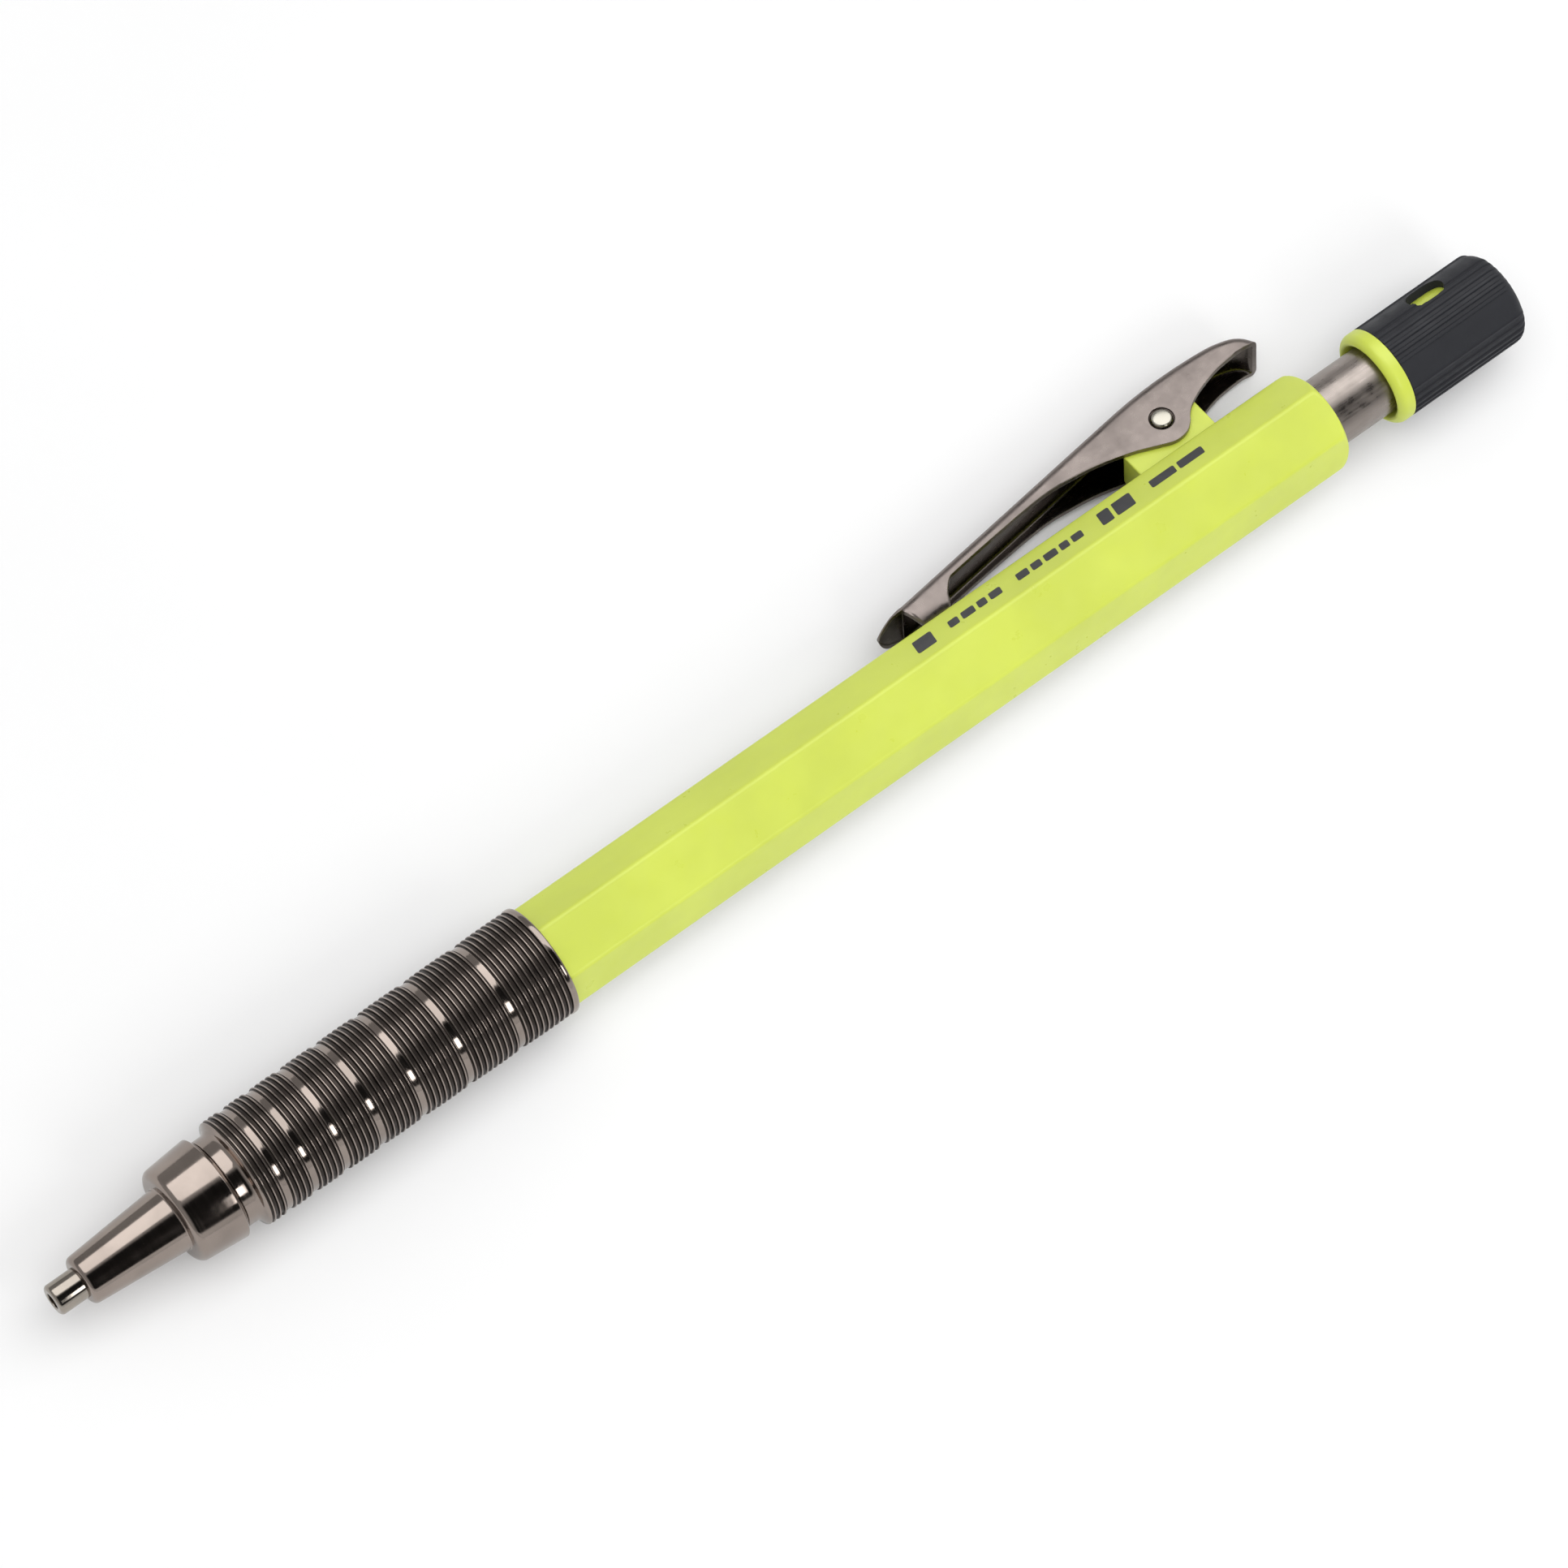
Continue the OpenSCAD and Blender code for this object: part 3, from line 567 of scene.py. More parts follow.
def build_cone(m):
    """Tapered nose, collar and threaded spigot."""
    nose_front, nose_rear, nose_round = 2.15, 2.85, 0.62
    collar_front, collar_rear, collar_round = 4.25, 4.635, 0.72
    spigot, thread_depth, spigot_end = 3.2, 0.24, far("tip_cone")
    root = spigot - thread_depth
    chamber, throat, lead_bore, seat = 2.75, 2.1, 1.2, 1.6
    x_collar, x_stop, x_shoulder = X_SEAM - 4.75, X_SEAM - 1.25, X_SEAM - 0.05
    x_seat = far("tip_pipe")
    x_pocket = x_seat + 2.35
    outline = rounded([
        (X_CONE, SEAT_R), (X_CONE, nose_front, nose_round), (x_collar, nose_rear, 0.14),
        (x_collar, collar_front, collar_round), (X_SEAM - 0.42, collar_rear, 0.16),
        (x_shoulder, NECK_R, 0.05), (x_shoulder, root)
    ], 8)
    thread_from, thread_to, steps = X_SEAM + 0.7, spigot_end - 0.5, 60
    for i in range(steps + 1):
        x = thread_from + (thread_to - thread_from) * i / steps
        outline.append((x, thread_radius(x, thread_from, thread_to, spigot, thread_depth)))
    outline += [(spigot_end - 0.2, root), (spigot_end, spigot - 0.4), (spigot_end, chamber)]
    outline += [(x_stop, chamber), (x_stop, throat), (x_pocket + 0.6, throat), (x_pocket, lead_bore),
                (x_pocket - 0.1, lead_bore), (x_pocket - 0.1, seat), (x_seat, seat), (x_seat, SEAT_R)]
    cone = revolve("tip_cone_v", outline, 160)
    return finish_piece(cone, "tip_body", "dark_plated", m["dark"], "tip_cone")


def build_grip(m):
    """Ribbed grip: groups of fine ribs between smooth waists, each group one rib longer than the last."""
    pitch, groups, first = 0.513, 8, 3
    crest_w, wall_w, rib_depth, waist_depth = 0.13, 0.06, 0.25, 0.16
    crest_round, crown, undercut, bottom, swell = 0.05, 0.05, 0.05, 0.015, 0.012
    front_r, neck_fillet, rear_round, bore, rear_bore = 4.9, 0.62, 0.18, 3.25, 3.5
    x_neck, x_ribs = X_SEAM + 0.85, X_SEAM + 1.45
    x_rim, x_insert = X_BARREL - 0.52, far("tip_cone") + 0.2
    root = crest_w / 2 + wall_w

    def skin(x):
        return front_r + (GRIP_R - front_r) * (x - x_ribs) / (X_BARREL - x_ribs)

    outline = [(X_SEAM, bore), (X_SEAM, NECK_R - 0.05), (X_SEAM + 0.05, NECK_R), (x_neck, NECK_R)]
    outline += dome(x_neck, NECK_R, neck_fillet, -neck_fillet, (15, 30, 45, 60))
    outline += [(x_ribs + 0.1, front_r - 0.12), (x_ribs + 0.2, front_r - 0.06)]
    start, waists = x_ribs, []
    for g in range(groups):
        ribs = first + g
        for k in range(1, ribs + 1):
            x = start + k * pitch
            # the middle ribs of a group stand a little prouder than its first and last
            r = skin(x) - crown * (2 * k / (ribs + 1) - 1) ** 2
            if k == 1:
                step = waist_depth if waists else 0.1
                if waists:
                    outline.append((x - pitch / 2 + 0.02, r - step))
                outline += [(x - root - 0.02, r - step - undercut), (x - root, r - step - undercut)]
            outline += dome(x, r, crest_w / 2, crest_round, (-90, -50, -20, 20, 50, 90))
            if k < ribs:
                low = r - rib_depth
                outline += [(x + root, low), (x + pitch / 2 - 0.05, low - bottom),
                            (x + pitch / 2 + 0.05, low - bottom), (x + pitch - root, low)]
        if g < groups - 1:
            low = r - waist_depth
            outline += [(x + root, low - undercut), (x + root + 0.02, low - undercut),
                        (x + pitch / 2 - 0.02, low)]
            for t in (0.08, 0.3, 0.7, 0.92):
                smooth_r = skin(x) - crown - waist_depth + swell * math.sin(math.pi * t)
                outline.append((x + pitch / 2 + t * pitch, smooth_r))
            start += pitch * (ribs + 1)
            waists.append(start)
    outline += [(x_rim - 0.12, GRIP_R - rib_depth), (x_rim, GRIP_R - 0.04), (x_rim + 0.05, GRIP_R)]
    outline += dome(X_BARREL - rear_round, GRIP_R, rear_round, rear_round, (0, 30, 60, 90))
    outline += [(X_BARREL, rear_bore), (x_insert, rear_bore), (x_insert, bore)]

    # faces between the ribs, outside the waists, take the painted groove shade
    def groove(x, r):
        in_waist = any(abs(x - w) < pitch / 2 for w in waists)
        return x_ribs + 0.2 < x < x_rim - 0.02 and skin(x) - 0.7 < r < skin(x) - 0.11 and not in_waist

    grip = revolve("grip_v", outline, 192, 42, (m["dark"], m["groove"]), groove)
    return finish_piece(grip, "barrel_body", "dark_plated", None, "grip")


# ---------- barrel


def hexagon():
    """Section of the barrel as (y, z) points: a hexagon with rounded corners, one flat towards the clip."""
    corner, per_corner, per_flat = 0.5, 8, 11
    centre = (BARREL_FLAT - corner) / math.cos(math.radians(30))
    corners = []
    for middle in range(30, 390, 60):
        y, z = on_side(middle, centre, 0)
        turns = [math.radians(middle - 30 + 60 * i / per_corner) for i in range(per_corner + 1)]
        corners.append([(y + corner * math.sin(a), z + corner * math.cos(a)) for a in turns])
    points = []
    for here, following in zip(corners, corners[1:] + corners[:1]):
        points += here
        for i in range(1, per_flat + 1):
            t = i / (per_flat + 1)
            points.append(tuple(a * (1 - t) + b * t for a, b in zip(here[-1], following[0])))
    return points


def soft_min(a, b, k):
    """Smaller of a and b, blended where they differ by less than k."""
    h = max(k - abs(a - b), 0) / k
    return min(a, b) - h * h * k / 4


def build_barrel(m):
    """Hexagonal barrel with turned ends, a bore and the clip's lug."""
    section = hexagon()
    bore, bore_chamfer = TUBE_R + 0.05, 0.1
    front_r, front_round, end_r, end_round, blend = 4.47, 0.12, 4.59, 1.0, 0.08
    # a limit this wide leaves the whole hexagon
    unturned = 9
    stations = []
    for t in (0, 0.3, 0.6):
        stations.append((X_BARREL + front_round * t, front_r + front_round * math.sin(t * math.pi / 2)))
    stations.append((X_BARREL + front_round, front_r + front_round + 0.3))
    stations += [(X_BARREL + 1 + (X_BARREL_END - X_BARREL - 3) * i / 12, unturned) for i in range(13)]
    stations += dome(X_BARREL_END - end_round, end_r, end_round, end_round, [90 * i / 24 for i in range(25)])
    verts = []

    def ring(x, turned):
        for y, z in section:
            r = math.hypot(y, z)
            k = turned(r) / r
            verts.append((x, y * k, z * k))

    ring(X_BARREL, lambda r: bore)
    for x, limit in stations:
        ring(x, lambda r: soft_min(r, limit, blend))
    ring(X_BARREL_END, lambda r: bore + bore_chamfer)
    ring(X_BARREL_END - 0.12, lambda r: bore)
    faces = grid_faces(len(verts) // len(section), len(section), True, True)
    barrel = to_object("barrel_v", verts, faces, 30)
    combine(barrel, lug_solid(), "UNION", 30)
    return finish_piece(barrel, "barrel_body", "lime_plastic", m["lime"], "barrel")


def lug_solid():
    """Two ears and a front wall, with a slot for the spring and a hole for the pin."""
    half_w, ear, hole_r, edge = 1.9, 1.9, 0.87, 0.12
    front, rear, root = -4.6, 3.4, BARREL_FLAT - 0.35
    slot_front, slot_rear, slot_floor, slot_top, slot_half = -2.2, 5, 5.1, 12, 0.85

    def on_ear(degrees, fillet):
        a = math.radians(degrees)
        return (ear * math.cos(a), PIVOT_H + ear * math.sin(a), fillet)

    body = rounded([
        (front, root), (front, PIVOT_H - 0.6, 0.3), on_ear(129, 0.5), (0, PIVOT_H + ear + 0.02, 1.0),
        on_ear(51, 0.5), (rear, PIVOT_H + 0.2, 0.4), (rear, root)
    ], 6)
    slot = ((slot_front, slot_floor), (slot_front, slot_top), (slot_rear, slot_top), (slot_rear, slot_floor))
    hole = arc((0, PIVOT_H), hole_r, 0, 352.5, 47)
    lug = bevelled(prism("lug", [(X_PIVOT + x, z) for x, z in body], half_w), edge)
    combine(lug, prism("slot", [(X_PIVOT + x, z) for x, z in slot], slot_half), "DIFFERENCE")
    return combine(lug, prism("hole", [(X_PIVOT + x, z) for x, z in hole], half_w + 1.1), "DIFFERENCE")


def build_print(m):
    """Plain marks where the barrel is printed: bars only, no letters."""
    facet, lift, sink, gap, corner = -60, 0.022, 0.01, 0.35, 0.16
    # each group: its start from the clip's pivot, the widths of its bars, their height and their lean
    groups = (
        (-30.2, (1.9,), 1.9, 0.5),
        (-26.6, (1.0, 1.3, 0.9, 1.2), 1.05, 0.3),
        (-19.5, (1.2, 1.0, 1.3, 0.9, 1.1), 1.05, 0.3),
        (-10.9, (1.2, 1.9), 2.0, 0.55),
        (-5.4, (2.6, 2.6), 1.15, 0.3),
    )
    verts, faces = [], []
    for start, widths, tall, lean in groups:
        x = X_PIVOT + start
        for wide in widths:
            outline = rounded([
                (x, -tall / 2, corner), (x + wide, -tall / 2, corner),
                (x + wide + lean, tall / 2, corner), (x + lean, tall / 2, corner)
            ], 3)
            faces += plate_faces(len(outline), len(verts))
            for h in (-sink, lift):
                verts += [(u, *on_side(facet, BARREL_FLAT + h, v)) for u, v in outline]
            x += wide + gap
    return finish_piece(to_object("barrel_print", verts, faces), "barrel_body", "black_plastic", m["ink"])


# ---------- clip

# half width, sheet thickness, and the slope of the straight back in degrees
CLIP_HALF = 2.5
SHEET = 0.5
SLOPE = 7.8
SLOPE_SIN, SLOPE_COS = math.sin(math.radians(SLOPE)), math.cos(math.radians(SLOPE))
# where the straight back ends in the hump, and the height at which the feet rest; x from the pivot
KNEE = (-3.0, PIVOT_H + 3.1)
REST = BARREL_FLAT + 0.02
# from the pivot to the rounded front end, to the centre of its rounding and to the front of the feet
NOSE_REACH, FOOT_REACH = 30.6, 27.6
NOSE_CENTRE = CLIP_HALF - NOSE_REACH
FOOT_CORNER = (0.25 - FOOT_REACH, REST)
FOOT_TUCK = 0.45


def back_at(x):
    """Point of the outer skin on the straight back."""
    return (x, KNEE[1] + (x - KNEE[0]) * SLOPE_SIN / SLOPE_COS)


def cheek_row(top, low, tuck):
    """Row with full cheeks: top point of the outer skin, unit vector inward, depth below the top, half width,
    and how far the foot tucks in."""
    t, b = Vector(top), Vector(low)
    return (top, tuple((b - t).normalized()), (t - b).length, CLIP_HALF, tuck)


def tongue_rows():
    """Rows of the flat front end: a half round in plan, thinner than the sheet, its front a little lifted."""
    count, last_turn, thinner, lift, lift_from = 22, 85, 0.2, 0.15, 0.55
    rows = []
    for i in range(count):
        turn = math.radians(last_turn * (1 - i / (count - 1)))
        x, z = back_at(NOSE_CENTRE - CLIP_HALF * math.sin(turn))
        ahead = max(0.0, math.sin(turn) - lift_from) / (1 - lift_from)
        depth = SHEET - thinner * min(1, 2 * math.sin(turn))
        top = (x, z + lift * ahead ** 2)
        rows.append((top, (SLOPE_SIN, -SLOPE_COS), depth, CLIP_HALF * math.cos(turn), 0))
    return rows


def cheek_front_rows():
    """Rows over the slanted front edge of the cheeks, from under the tongue to the feet."""
    count, ahead, tuck_from = 12, 0.55, 0.3
    x, z = back_at(-FOOT_REACH - ahead)
    apex = (x, z - (SHEET + 0.05) / SLOPE_COS)
    rows = []
    for i in range(1, count + 1):
        k = i / count
        low = tuple(a + (b - a) * k for a, b in zip(apex, FOOT_CORNER))
        tuck = FOOT_TUCK * max(0, k - tuck_from) / (1 - tuck_from)
        rows.append(cheek_row(back_at(NOSE_CENTRE + 0.01 + 0.3 * k), low, tuck))
    return rows


def cheek_line():
    """Lower edge of the cheeks: the feet on the barrel, a long arch, round the pin and up to the tail."""
    foot_end, pin_round = -24.9, 2.43
    line = [FOOT_CORNER, (-26.5, REST)]
    line += curved([(foot_end, REST), (foot_end + 0.45, REST + 0.35), (-23.95, 5.3), (-23.2, 6.05),
                    (-22.4, 6.28), (-17.5, 6.9), (-12.4, 7.38), (-9.3, 7.2), (-6.7, 6.8), (-3.9, 6.0),
                    (-2.2, 5.3)])
    line += arc((0, PIVOT_H), pin_round, -130, -50, 16)[3:-2]
    line += curved([(1.75, 5.35), (2.25, 6.0), (3.05, 6.62), (4.6, 7.32), (6.8, 7.92), (9.3, 8.12),
                    (10.5, 8.0)])
    return resampled([tuple(q) for q in line], 150)


def back_line():
    """Outer skin along the middle, from behind the tongue to the tail: a straight, then joined arcs."""
    hump_r = 44.9
    line = [back_at(NOSE_CENTRE + 0.32), KNEE]
    centre, r, heading = (KNEE[0] + hump_r * SLOPE_SIN, KNEE[1] - hump_r * SLOPE_COS), hump_r, SLOPE
    # radius, heading at the end and number of steps: hump, tail, lip
    for next_r, end, steps in ((hump_r, -5, 24), (9, -20, 8), (2.7, -75, 14)):
        h = math.radians(heading)
        centre = (centre[0] - (r - next_r) * math.sin(h), centre[1] + (r - next_r) * math.cos(h))
        line += arc(centre, next_r, 90 + heading, 90 + end, steps)[1:]
        r, heading = next_r, end
    return resampled(line, 2400)


def clip_rows():
    """Rows of the clip's loft, from its front end to the tail. Each point of the cheeks' lower edge takes
    the point of the back that stands above it."""
    tail_x, foot_rear, tuck_end = 8.0, -25.2, -23.4
    low_line, back = cheek_line(), back_line()
    x_low = low_line[:, 0]
    share = np.linspace(0, 1, len(x_low))
    lean = np.interp(x_low, [-FOOT_REACH, -26.5, -24.9, tail_x, 10.5], [-0.18, -0.08, 0.0, 0.0, 0.35])
    target = np.maximum.accumulate(x_low + lean + 1e-4 * share)
    last = len(back) - 1
    picks = np.searchsorted(back[:, 0], target).clip(0, last)
    tail_from = int(np.searchsorted(x_low, tail_x))
    ramp = np.linspace(0, 1, len(x_low) - tail_from)
    picks[tail_from:] = (picks[tail_from] + (last - picks[tail_from]) * ramp ** 0.9).astype(int)
    tucks = np.interp(x_low, [foot_rear, tuck_end], [FOOT_TUCK, 0])
    cheeks = [cheek_row(tuple(back[i]), tuple(q), t) for i, q, t in zip(picks, low_line, tucks)]
    return tongue_rows() + cheek_front_rows() + cheeks[1:]


def clip_section(depth, half, tuck):
    """Channel section as (y, depth below the top) points: the outer skin, then the inner skin."""
    leg, turn, across = 9, 7, 9
    bend, least_bend, foot_height, edge_lip = 0.8, 0.08, 1.3, 0.07
    narrow = min(1, half)

    def skin(half, radius, top):
        drop = min(radius, (depth - top) * 0.98)
        pts = []
        for i in range(leg):
            h = depth - (depth - top - drop) * i / leg
            low = max(0.0, 1 - (depth - h) / foot_height)
            pts.append((-half + tuck * low ** 2, h))
        for i in range(turn + 1):
            t = math.pi / 2 * i / turn
            pts.append((-half + radius * (1 - math.cos(t)), top + drop * (1 - math.sin(t))))
        pts += [((-half + radius) * (1 - 2 * i / across), top) for i in range(1, across)]
        pts += [(-y, h) for y, h in pts[: leg + turn + 1][::-1]]
        return pts

    radius = bend * narrow
    outer = skin(half, radius, 0)
    inner_half = half - SHEET * min(1, half / 1.2)
    inner = skin(inner_half, max(radius - SHEET, least_bend) * narrow, min(SHEET, depth - 0.06))
    edge = outer[0][0] + edge_lip * narrow
    outer[0], outer[-1] = (edge, depth), (-edge, depth)
    return outer, inner


def build_clip(m):
    """Sheet metal channel, loft from its rounded front end to the tail, with pin holes."""
    verts, rows = [], clip_rows()
    for top, inward, depth, half_width, tuck in rows:
        outer, inner = clip_section(depth, half_width, tuck)
        for y, d in outer + inner[::-1]:
            verts.append((X_PIVOT + top[0] + inward[0] * d, y, top[1] + inward[1] * d))
    cols = len(verts) // len(rows)
    half = cols // 2
    faces = grid_faces(len(rows), cols, False, True)
    # the inner skin's faces take the second look, the painted shade inside the channel
    marks = [int(half <= j < cols - 1) for j in range(cols)] * (len(rows) - 1)
    # both ends are closed between the two skins
    for base in (0, (len(rows) - 1) * cols):
        faces += [(base + i, base + i + 1, base + cols - 2 - i, base + cols - 1 - i) for i in range(half - 1)]
        marks += [0] * (half - 1)
    clip = to_object("clip_v", verts, faces, 32, (m["clip"], m["clip_in"]), marks)
    combine(clip, pin_hole(), "DIFFERENCE", 32)
    return finish_piece(clip, "clip_body", "clip_steel", None, "clip")


def pin_hole():
    """Cutter for both pin holes, wider at the outer skins."""
    hole, mouth, past = 0.91, 1.1, CLIP_HALF + 0.7
    half = [(past, 0), (past, mouth), (CLIP_HALF - 0.16, mouth), (CLIP_HALF - 0.28, hole)]
    return about_pin("pin_hole", [(-y, r) for y, r in half] + half[::-1])


def about_pin(name, outline):
    """Turned about the clip's pivot, from (y, radius) points."""
    segs = 72
    verts = []
    for y, r in outline:
        for k in range(segs):
            a = 2 * math.pi * k / segs
            verts.append((X_PIVOT + r * math.cos(a), y, PIVOT_H + r * math.sin(a)))
    return to_object(name, verts, grid_faces(len(outline), segs, False, True))


def build_pin(m):
    """Rivet with slightly domed ends."""
    r, half, bulge = 0.86, CLIP_HALF + 0.12, 0.1
    turns = [math.pi / 2 * i / 8 for i in range(9)]
    end = [(half + bulge * math.cos(t), r * 0.93 * math.sin(t)) for t in turns]
    outline = [(-y, q) for y, q in end] + [(-half + 0.05, r), (half - 0.05, r)] + end[::-1]
    pin = about_pin("clip_pin_v", outline)
    return finish_piece(pin, "barrel_body", "bright_steel", m["bright"], "clip_pin")


def build_clip_spring(m):
    """Torsion spring: a coil round the pivot between barrel and clip, with a leg at each end."""
    coil, wire, turns, half, steps = 1.15, 0.15, 3, 0.6, 140
    # where the two legs leave the coil, in degrees, and how long they are
    low, high, foot_len, tail_len = -100, 104, 3.2, 6.4
    sweep = low + 360 - high + 360 * turns

    def polar(r, degrees):
        return np.array([r * math.cos(math.radians(degrees)), r * math.sin(math.radians(degrees))])

    foot = polar(coil, low) + polar(foot_len, low + 90)
    tail = polar(coil, high) + polar(tail_len, high - 90)
    path = [(foot[0], -half, foot[1])]
    for i in range(steps + 1):
        x, z = polar(coil, low + 360 - sweep * i / steps)
        path.append((x, -half + 2 * half * i / steps, z))
    path.append((tail[0], half, tail[1]))
    spring = tube("clip_spring_v", [(X_PIVOT + x, y, PIVOT_H + z) for x, y, z in path], wire)
    finish_piece(spring, None, "spring_steel", m["spring"], "clip_spring")
    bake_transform(spring)
    return spring


# ---------- button and tube


def build_tube(m):
    inner = TUBE_R - 0.4
    x0, x1 = near("push_tube"), far("push_tube")
    outline = rounded([(x0, inner), (x0, TUBE_R, 0.1), (x1, TUBE_R, 0.12), (x1, inner, 0.05)], 5)
    pipe = revolve("push_tube_v", outline, 128)
    return finish_piece(pipe, "push_body", "satin_steel", m["tube"], "push_tube")


def build_core(m):
    """Coloured core with the rounded lip ahead of the sleeve."""
    bore, core, funnel, rim, front, wall, gap = TUBE_R + 0.05, 3.45, 0.85, 0.25, 0.75, 0.4, 0.07
    end, seam = far("cap_core"), X_SLEEVE - SKIN_GAP
    outline = [(X_CAP + funnel, bore)]
    outline += arc((X_CAP + rim, bore + 0.55), rim, 235, 150, 10)
    outline += arc((X_CAP + front, SLEEVE_R - front), front, 150, 90, 12)
    outline += [(X_SLEEVE - gap, SLEEVE_R), (seam, SLEEVE_R - 0.06), (seam, core),
                (end, core), (end, 0), (end - wall, 0), (end - wall, bore)]
    return finish_piece(revolve("cap_core_v", outline), "cap_body", "lime_plastic", m["lime"], "cap_core")


def sleeve_section():
    """Angles and heights of the sleeve's ribs: six to a quarter, ten degrees apart."""
    first, step, half_rib, wall = -28, 10, 1.5, 1.3
    marks = []
    for q in range(4):
        for i in range(6):
            a = first + 90 * q + step * i
            marks += [(a - half_rib - wall, 0), (a - half_rib - wall * 0.4, 0.75), (a - half_rib, 1), (a, 1),
                      (a + half_rib, 1), (a + half_rib + wall * 0.4, 0.75), (a + half_rib + wall, 0)]
        end = first + 90 * q + step * 5 + half_rib + wall
        nxt = first + 90 * (q + 1) - half_rib - wall
        marks += [(end + (nxt - end) * k / 10, 0) for k in range(1, 10)]
    return marks


def build_sleeve(m):
    """Ribbed sleeve with a rounded closed end and a window onto the core."""
    rib, end_round, bore, bore_end = 0.15, 1.2, 3.46, far("cap_core") + 0.02
    x_round = X_END - end_round
    marks = sleeve_section()
    stations = [(X_SLEEVE, -0.1), (X_SLEEVE + 0.05, -0.03), (X_SLEEVE + 0.12, 0)]
    stations += [(X_SLEEVE + 0.3 + (x_round - X_SLEEVE - 0.3) * i / 14, 0) for i in range(15)]
    stations += dome(x_round, 0, end_round, end_round, [90 * i / 12 for i in range(1, 13)])
    verts = []

    def ring(x, radius_at):
        for a, h in marks:
            verts.append((x, *on_side(a, radius_at(h), 0)))

    ring(X_SLEEVE, lambda h: bore)
    for x, drop in stations:
        # the ribs run out over the rounded end
        fade = max(0.0, 1 - (max(0.0, x - x_round) / end_round) ** 3)
        ring(x, lambda h: SLEEVE_R - rib + rib * h * fade + drop)
    for x, r in ((X_END, 0.0), (bore_end, 0.0), (bore_end, bore)):
        ring(x, lambda h: r)
    faces = grid_faces(len(verts) // len(marks), len(marks), True, True)
    sleeve = to_object("cap_sleeve_v", verts, faces, 30)
    combine(sleeve, window(), "DIFFERENCE", 30)
    return finish_piece(sleeve, "cap_body", "black_plastic", m["black"], "cap_sleeve")


def window():
    """Cutter for the sleeve's window, a long hole with round ends."""
    side, r, start, end, low, high = -59, 1.35, 4.45, 8, 2.9, 5.5
    outline = arc((X_SLEEVE + end - r, 0), r, -90, 90, 16) + arc((X_SLEEVE + start + r, 0), r, 90, 270, 16)
    verts = [(x, *on_side(side, h, v)) for h in (low, high) for x, v in outline]
    return to_object("window", verts, plate_faces(len(outline)))


def build_return_spring(m):
    """Coil spring at the length of its CAD node."""
    low, high = near("return_spring"), far("return_spring")
    wire, coil, turns, steps = 0.2, 2.05, 7.5, 36
    # the first and the last turn are closed, the others share what is left
    closed = 2 * wire + 0.03
    span = high - low - 2 * wire
    free = (span - 2 * closed) / (turns - 2)
    path = []
    for i in range(int(turns * steps) + 1):
        t = i / steps
        if t < 1:
            x = t * closed
        elif t > turns - 1:
            x = span - (turns - t) * closed
        else:
            x = closed + (t - 1) * free
        a = 2 * math.pi * t
        path.append((low + wire + x, coil * math.cos(a), coil * math.sin(a)))
    spring = tube("return_spring_v", path, wire, 10)
    finish_piece(spring, "barrel_body", "spring_steel", m["spring"], "return_spring")
    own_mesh(spring)
    return spring


# ---------- kept CAD nodes


def dress_nodes(m):
    """Materials of the CAD nodes that are shown as they are."""
    looks = {
        "lead_retainer": "rubber", "clutch_sleeve": "inner", "clutch_ring": "brass", "chuck": "brass",
        "chuck_coupling": "inner", "barrel_insert": "brass", "lead_tube": "tube_plastic",
        "eraser_ferrule": "bright", "eraser": "vinyl", "feed_lead": "lead", "spare_leads": "lead",
    }
    for node, look in looks.items():
        obj = frame["nodes"][node]
        obj.data.materials.clear()
        obj.data.materials.append(m[look])
        for p in obj.data.polygons:
            p.material_index = 0
        smooth(obj, 32)


# ---------- floor, light, camera


FLOOR_GLOW = 0.08
# degrees: the pencil's tilt towards the camera, its slant in the picture, the clip's turn from the camera
TILT, SLANT, CLIP_TURN = 16.5, 34.91, 116.6
# camera's distance in metres, lens and sensor in millimetres
DISTANCE, LENS, SENSOR = 0.70, 198.3, 36
# what the camera aims at, in millimetres: a place along the pencil, and how far above it in the picture
AIM_X, AIM_UP = 73.5, 0.46
AXIS = Vector((1, 0, 0))


def build_floor():
    """Pale card with a faint tooth."""
    size, z = 4.0, FLOOR_Z * MM
    mesh = bpy.data.meshes.new("floor")
    corners = [(-size, -size, z), (size, -size, z), (size, size, z), (-size, size, z)]
    mesh.from_pydata(corners, [], [(0, 1, 2, 3)])
    floor = placed("floor", mesh)
    s = Shader("floor_card")
    shade = s.noise(30, 4)
    colour = s.mix(s.remap(shade, 0.3, 0.7, 0, 1), (0.86, 0.86, 0.86), (0.88, 0.88, 0.88))
    s.bump(s.noise(900, 4), 0.01, 0.2)
    # the card glows a little to the camera, so it reads as white
    seen = s.add("ShaderNodeLightPath").outputs["Is Camera Ray"]
    s.link(s.math("MULTIPLY", seen, FLOOR_GLOW), s.bsdf.inputs["Emission Strength"])
    s.bsdf.inputs["Emission Color"].default_value = (1, 1, 1, 1)
    mesh.materials.append(s.done(colour, s.remap(shade, 0.3, 0.7, 0.75, 0.85)))


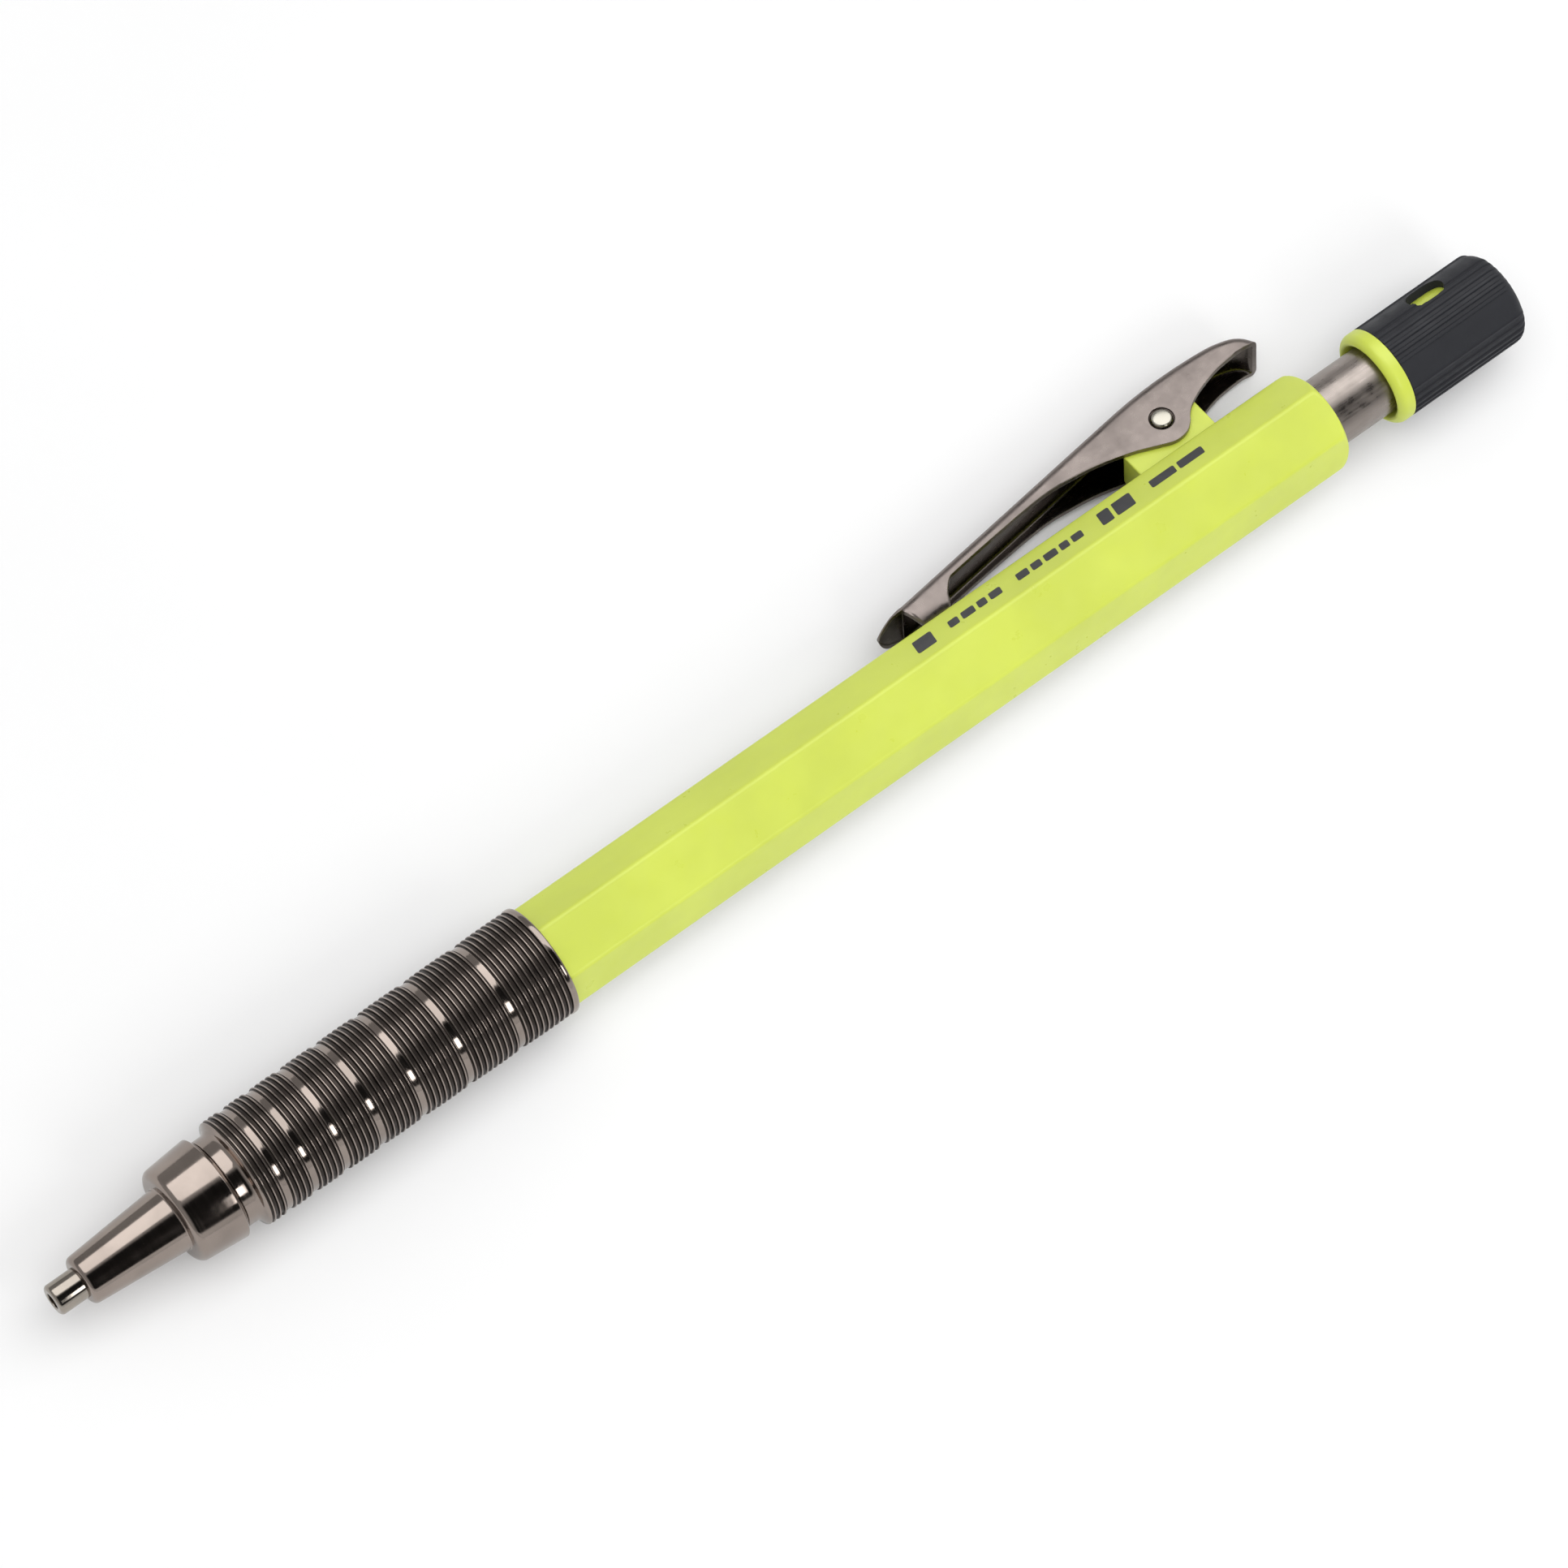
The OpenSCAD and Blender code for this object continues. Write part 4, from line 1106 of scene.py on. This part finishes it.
def view_frame():
    """Directions of the photo's view: towards the camera and upward, both square to the pencil, then the
    camera's own right, up and back, and the point it aims at."""
    tilt, slant = math.radians(TILT), math.radians(SLANT)
    clip_dir = Vector((0, PIVOT.y, PIVOT.z)).normalized()
    toward = Matrix.Rotation(math.radians(CLIP_TURN), 3, "X") @ clip_dir
    upward = Matrix.Rotation(-math.radians(90), 3, "X") @ toward
    back = math.cos(tilt) * toward - math.sin(tilt) * AXIS
    run = math.cos(tilt) * AXIS + math.sin(tilt) * toward
    right = math.cos(slant) * run - math.sin(slant) * upward
    up = math.sin(slant) * run + math.cos(slant) * upward
    aim = (AXIS * AIM_X + upward * AIM_UP) * MM
    return toward, upward, right, up, back, aim


def build_camera():
    *_, right, up, back, aim = view_frame()
    data = bpy.data.cameras.new("camera")
    data.sensor_width = SENSOR
    data.lens = LENS
    data.clip_start, data.clip_end = 0.01, 20
    cam = placed("camera", data)
    turn = Matrix((right, up, back)).transposed().to_4x4()
    cam.matrix_world = Matrix.Translation(aim + back * DISTANCE) @ turn
    bpy.context.scene.camera = cam


def area(name, aim, direction, distance, width, height, radiance, skew=0.0):
    """Area light on the far end of direction, its long side along the pencil, turned by skew degrees."""
    data = bpy.data.lights.new(name, "AREA")
    data.shape = "RECTANGLE"
    data.size, data.size_y = width, height
    data.energy = radiance * math.pi * width * height
    lamp = placed(name, data)
    z = direction.normalized()
    x = Matrix.Rotation(math.radians(skew), 3, z) @ (AXIS - z * AXIS.dot(z)).normalized()
    turn = Matrix((x, z.cross(x), z)).transposed().to_4x4()
    lamp.matrix_world = Matrix.Translation(aim + z * distance) @ turn
    return lamp


# brightness of the surroundings against the angle round the pencil: 0 faces the camera, 90 is up in the view
SURROUNDINGS = (
    (-180, 0.75), (-82, 0.75), (-66, 0.85), (-63, 0.02), (6, 0.015), (14, 0.5), (64, 0.6), (72, 0.34),
    (100, 0.38), (125, 0.5), (180, 0.75)
)
# brightness that matt surfaces see, and brightness far out along the pencil
SOFT_LEVEL = 0.53
END_LEVEL = 0.5


def build_surroundings():
    """World: cards and dark gaps for mirror-like surfaces, an even room for matt ones."""
    toward, upward, *_ = view_frame()
    world = bpy.data.worlds.new("studio")
    world.use_nodes = True
    tree = world.node_tree
    nodes, link = tree.nodes, tree.links.new
    direction = nodes.new("ShaderNodeTexCoord").outputs["Generated"]

    def along(vector):
        node = nodes.new("ShaderNodeVectorMath")
        node.operation = "DOT_PRODUCT"
        node.inputs[1].default_value = vector
        link(direction, node.inputs[0])
        return node.outputs["Value"]

    def towards_level(factor, colour, level):
        node = nodes.new("ShaderNodeMix")
        node.data_type = "RGBA"
        node.inputs[7].default_value = (level, level, level, 1)
        link(factor, node.inputs[0])
        link(colour, node.inputs[6])
        return node.outputs[2]

    angle = nodes.new("ShaderNodeMath")
    angle.operation = "ARCTAN2"
    link(along(upward), angle.inputs[0])
    link(along(toward), angle.inputs[1])
    share = nodes.new("ShaderNodeMapRange")
    share.inputs["From Min"].default_value = -math.pi
    share.inputs["From Max"].default_value = math.pi
    link(angle.outputs[0], share.inputs["Value"])
    ramp = nodes.new("ShaderNodeValToRGB")
    stops = ramp.color_ramp.elements
    while len(stops) < len(SURROUNDINGS):
        stops.new(0.5)
    for stop, (degrees, level) in zip(stops, SURROUNDINGS):
        stop.position = (degrees + 180) / 360
        stop.color = (level, level, level, 1)
    link(share.outputs[0], ramp.inputs["Fac"])
    # far out along the pencil the dark gaps end, which lights the flanks of ribs and edges
    size = nodes.new("ShaderNodeMath")
    size.operation = "ABSOLUTE"
    link(along(AXIS), size.inputs[0])
    ends = nodes.new("ShaderNodeMapRange")
    ends.inputs["From Min"].default_value = 0.42
    ends.inputs["From Max"].default_value = 0.8
    link(size.outputs[0], ends.inputs["Value"])
    mirrored = towards_level(ends.outputs[0], ramp.outputs["Color"], END_LEVEL)
    matt = nodes.new("ShaderNodeLightPath").outputs["Is Diffuse Ray"]
    link(towards_level(matt, mirrored, SOFT_LEVEL), nodes["Background"].inputs["Color"])
    nodes["Background"].inputs["Strength"].default_value = 1.0
    bpy.context.scene.world = world


def build_light():
    toward, upward, *_, aim = view_frame()

    def at(angle, lean=TILT):
        a, b = math.radians(angle), math.radians(lean)
        return math.cos(b) * (math.cos(a) * toward + math.sin(a) * upward) + math.sin(b) * AXIS

    # one card shows in the metal, the other lights the matt surfaces from nearer the camera
    distance, width, height, skew = 0.75, 1.5, 0.72, -12
    area("key", aim, at(38), distance, width, height, 1.65, skew).visible_diffuse = False
    area("fill", aim, at(10), distance, width, height, 1.35, skew).visible_glossy = False
    # a small card for the bright line low on the grip and the tip
    area("strip", Vector((0.02, 0, 0)), at(-39, 13), 0.50, 0.13, 0.17, 6.0)
    view = bpy.context.scene.view_settings
    view.view_transform = "Standard"
    view.exposure = 0.0


# ---------- build

M = materials()
for build in (build_pipe, build_cone, build_grip, build_barrel, build_print, build_clip, build_pin,
              build_clip_spring, build_tube, build_core, build_sleeve, build_return_spring, dress_nodes):
    build(M)
build_floor()
build_camera()
build_surroundings()
build_light()

bpy.context.view_layer.update()
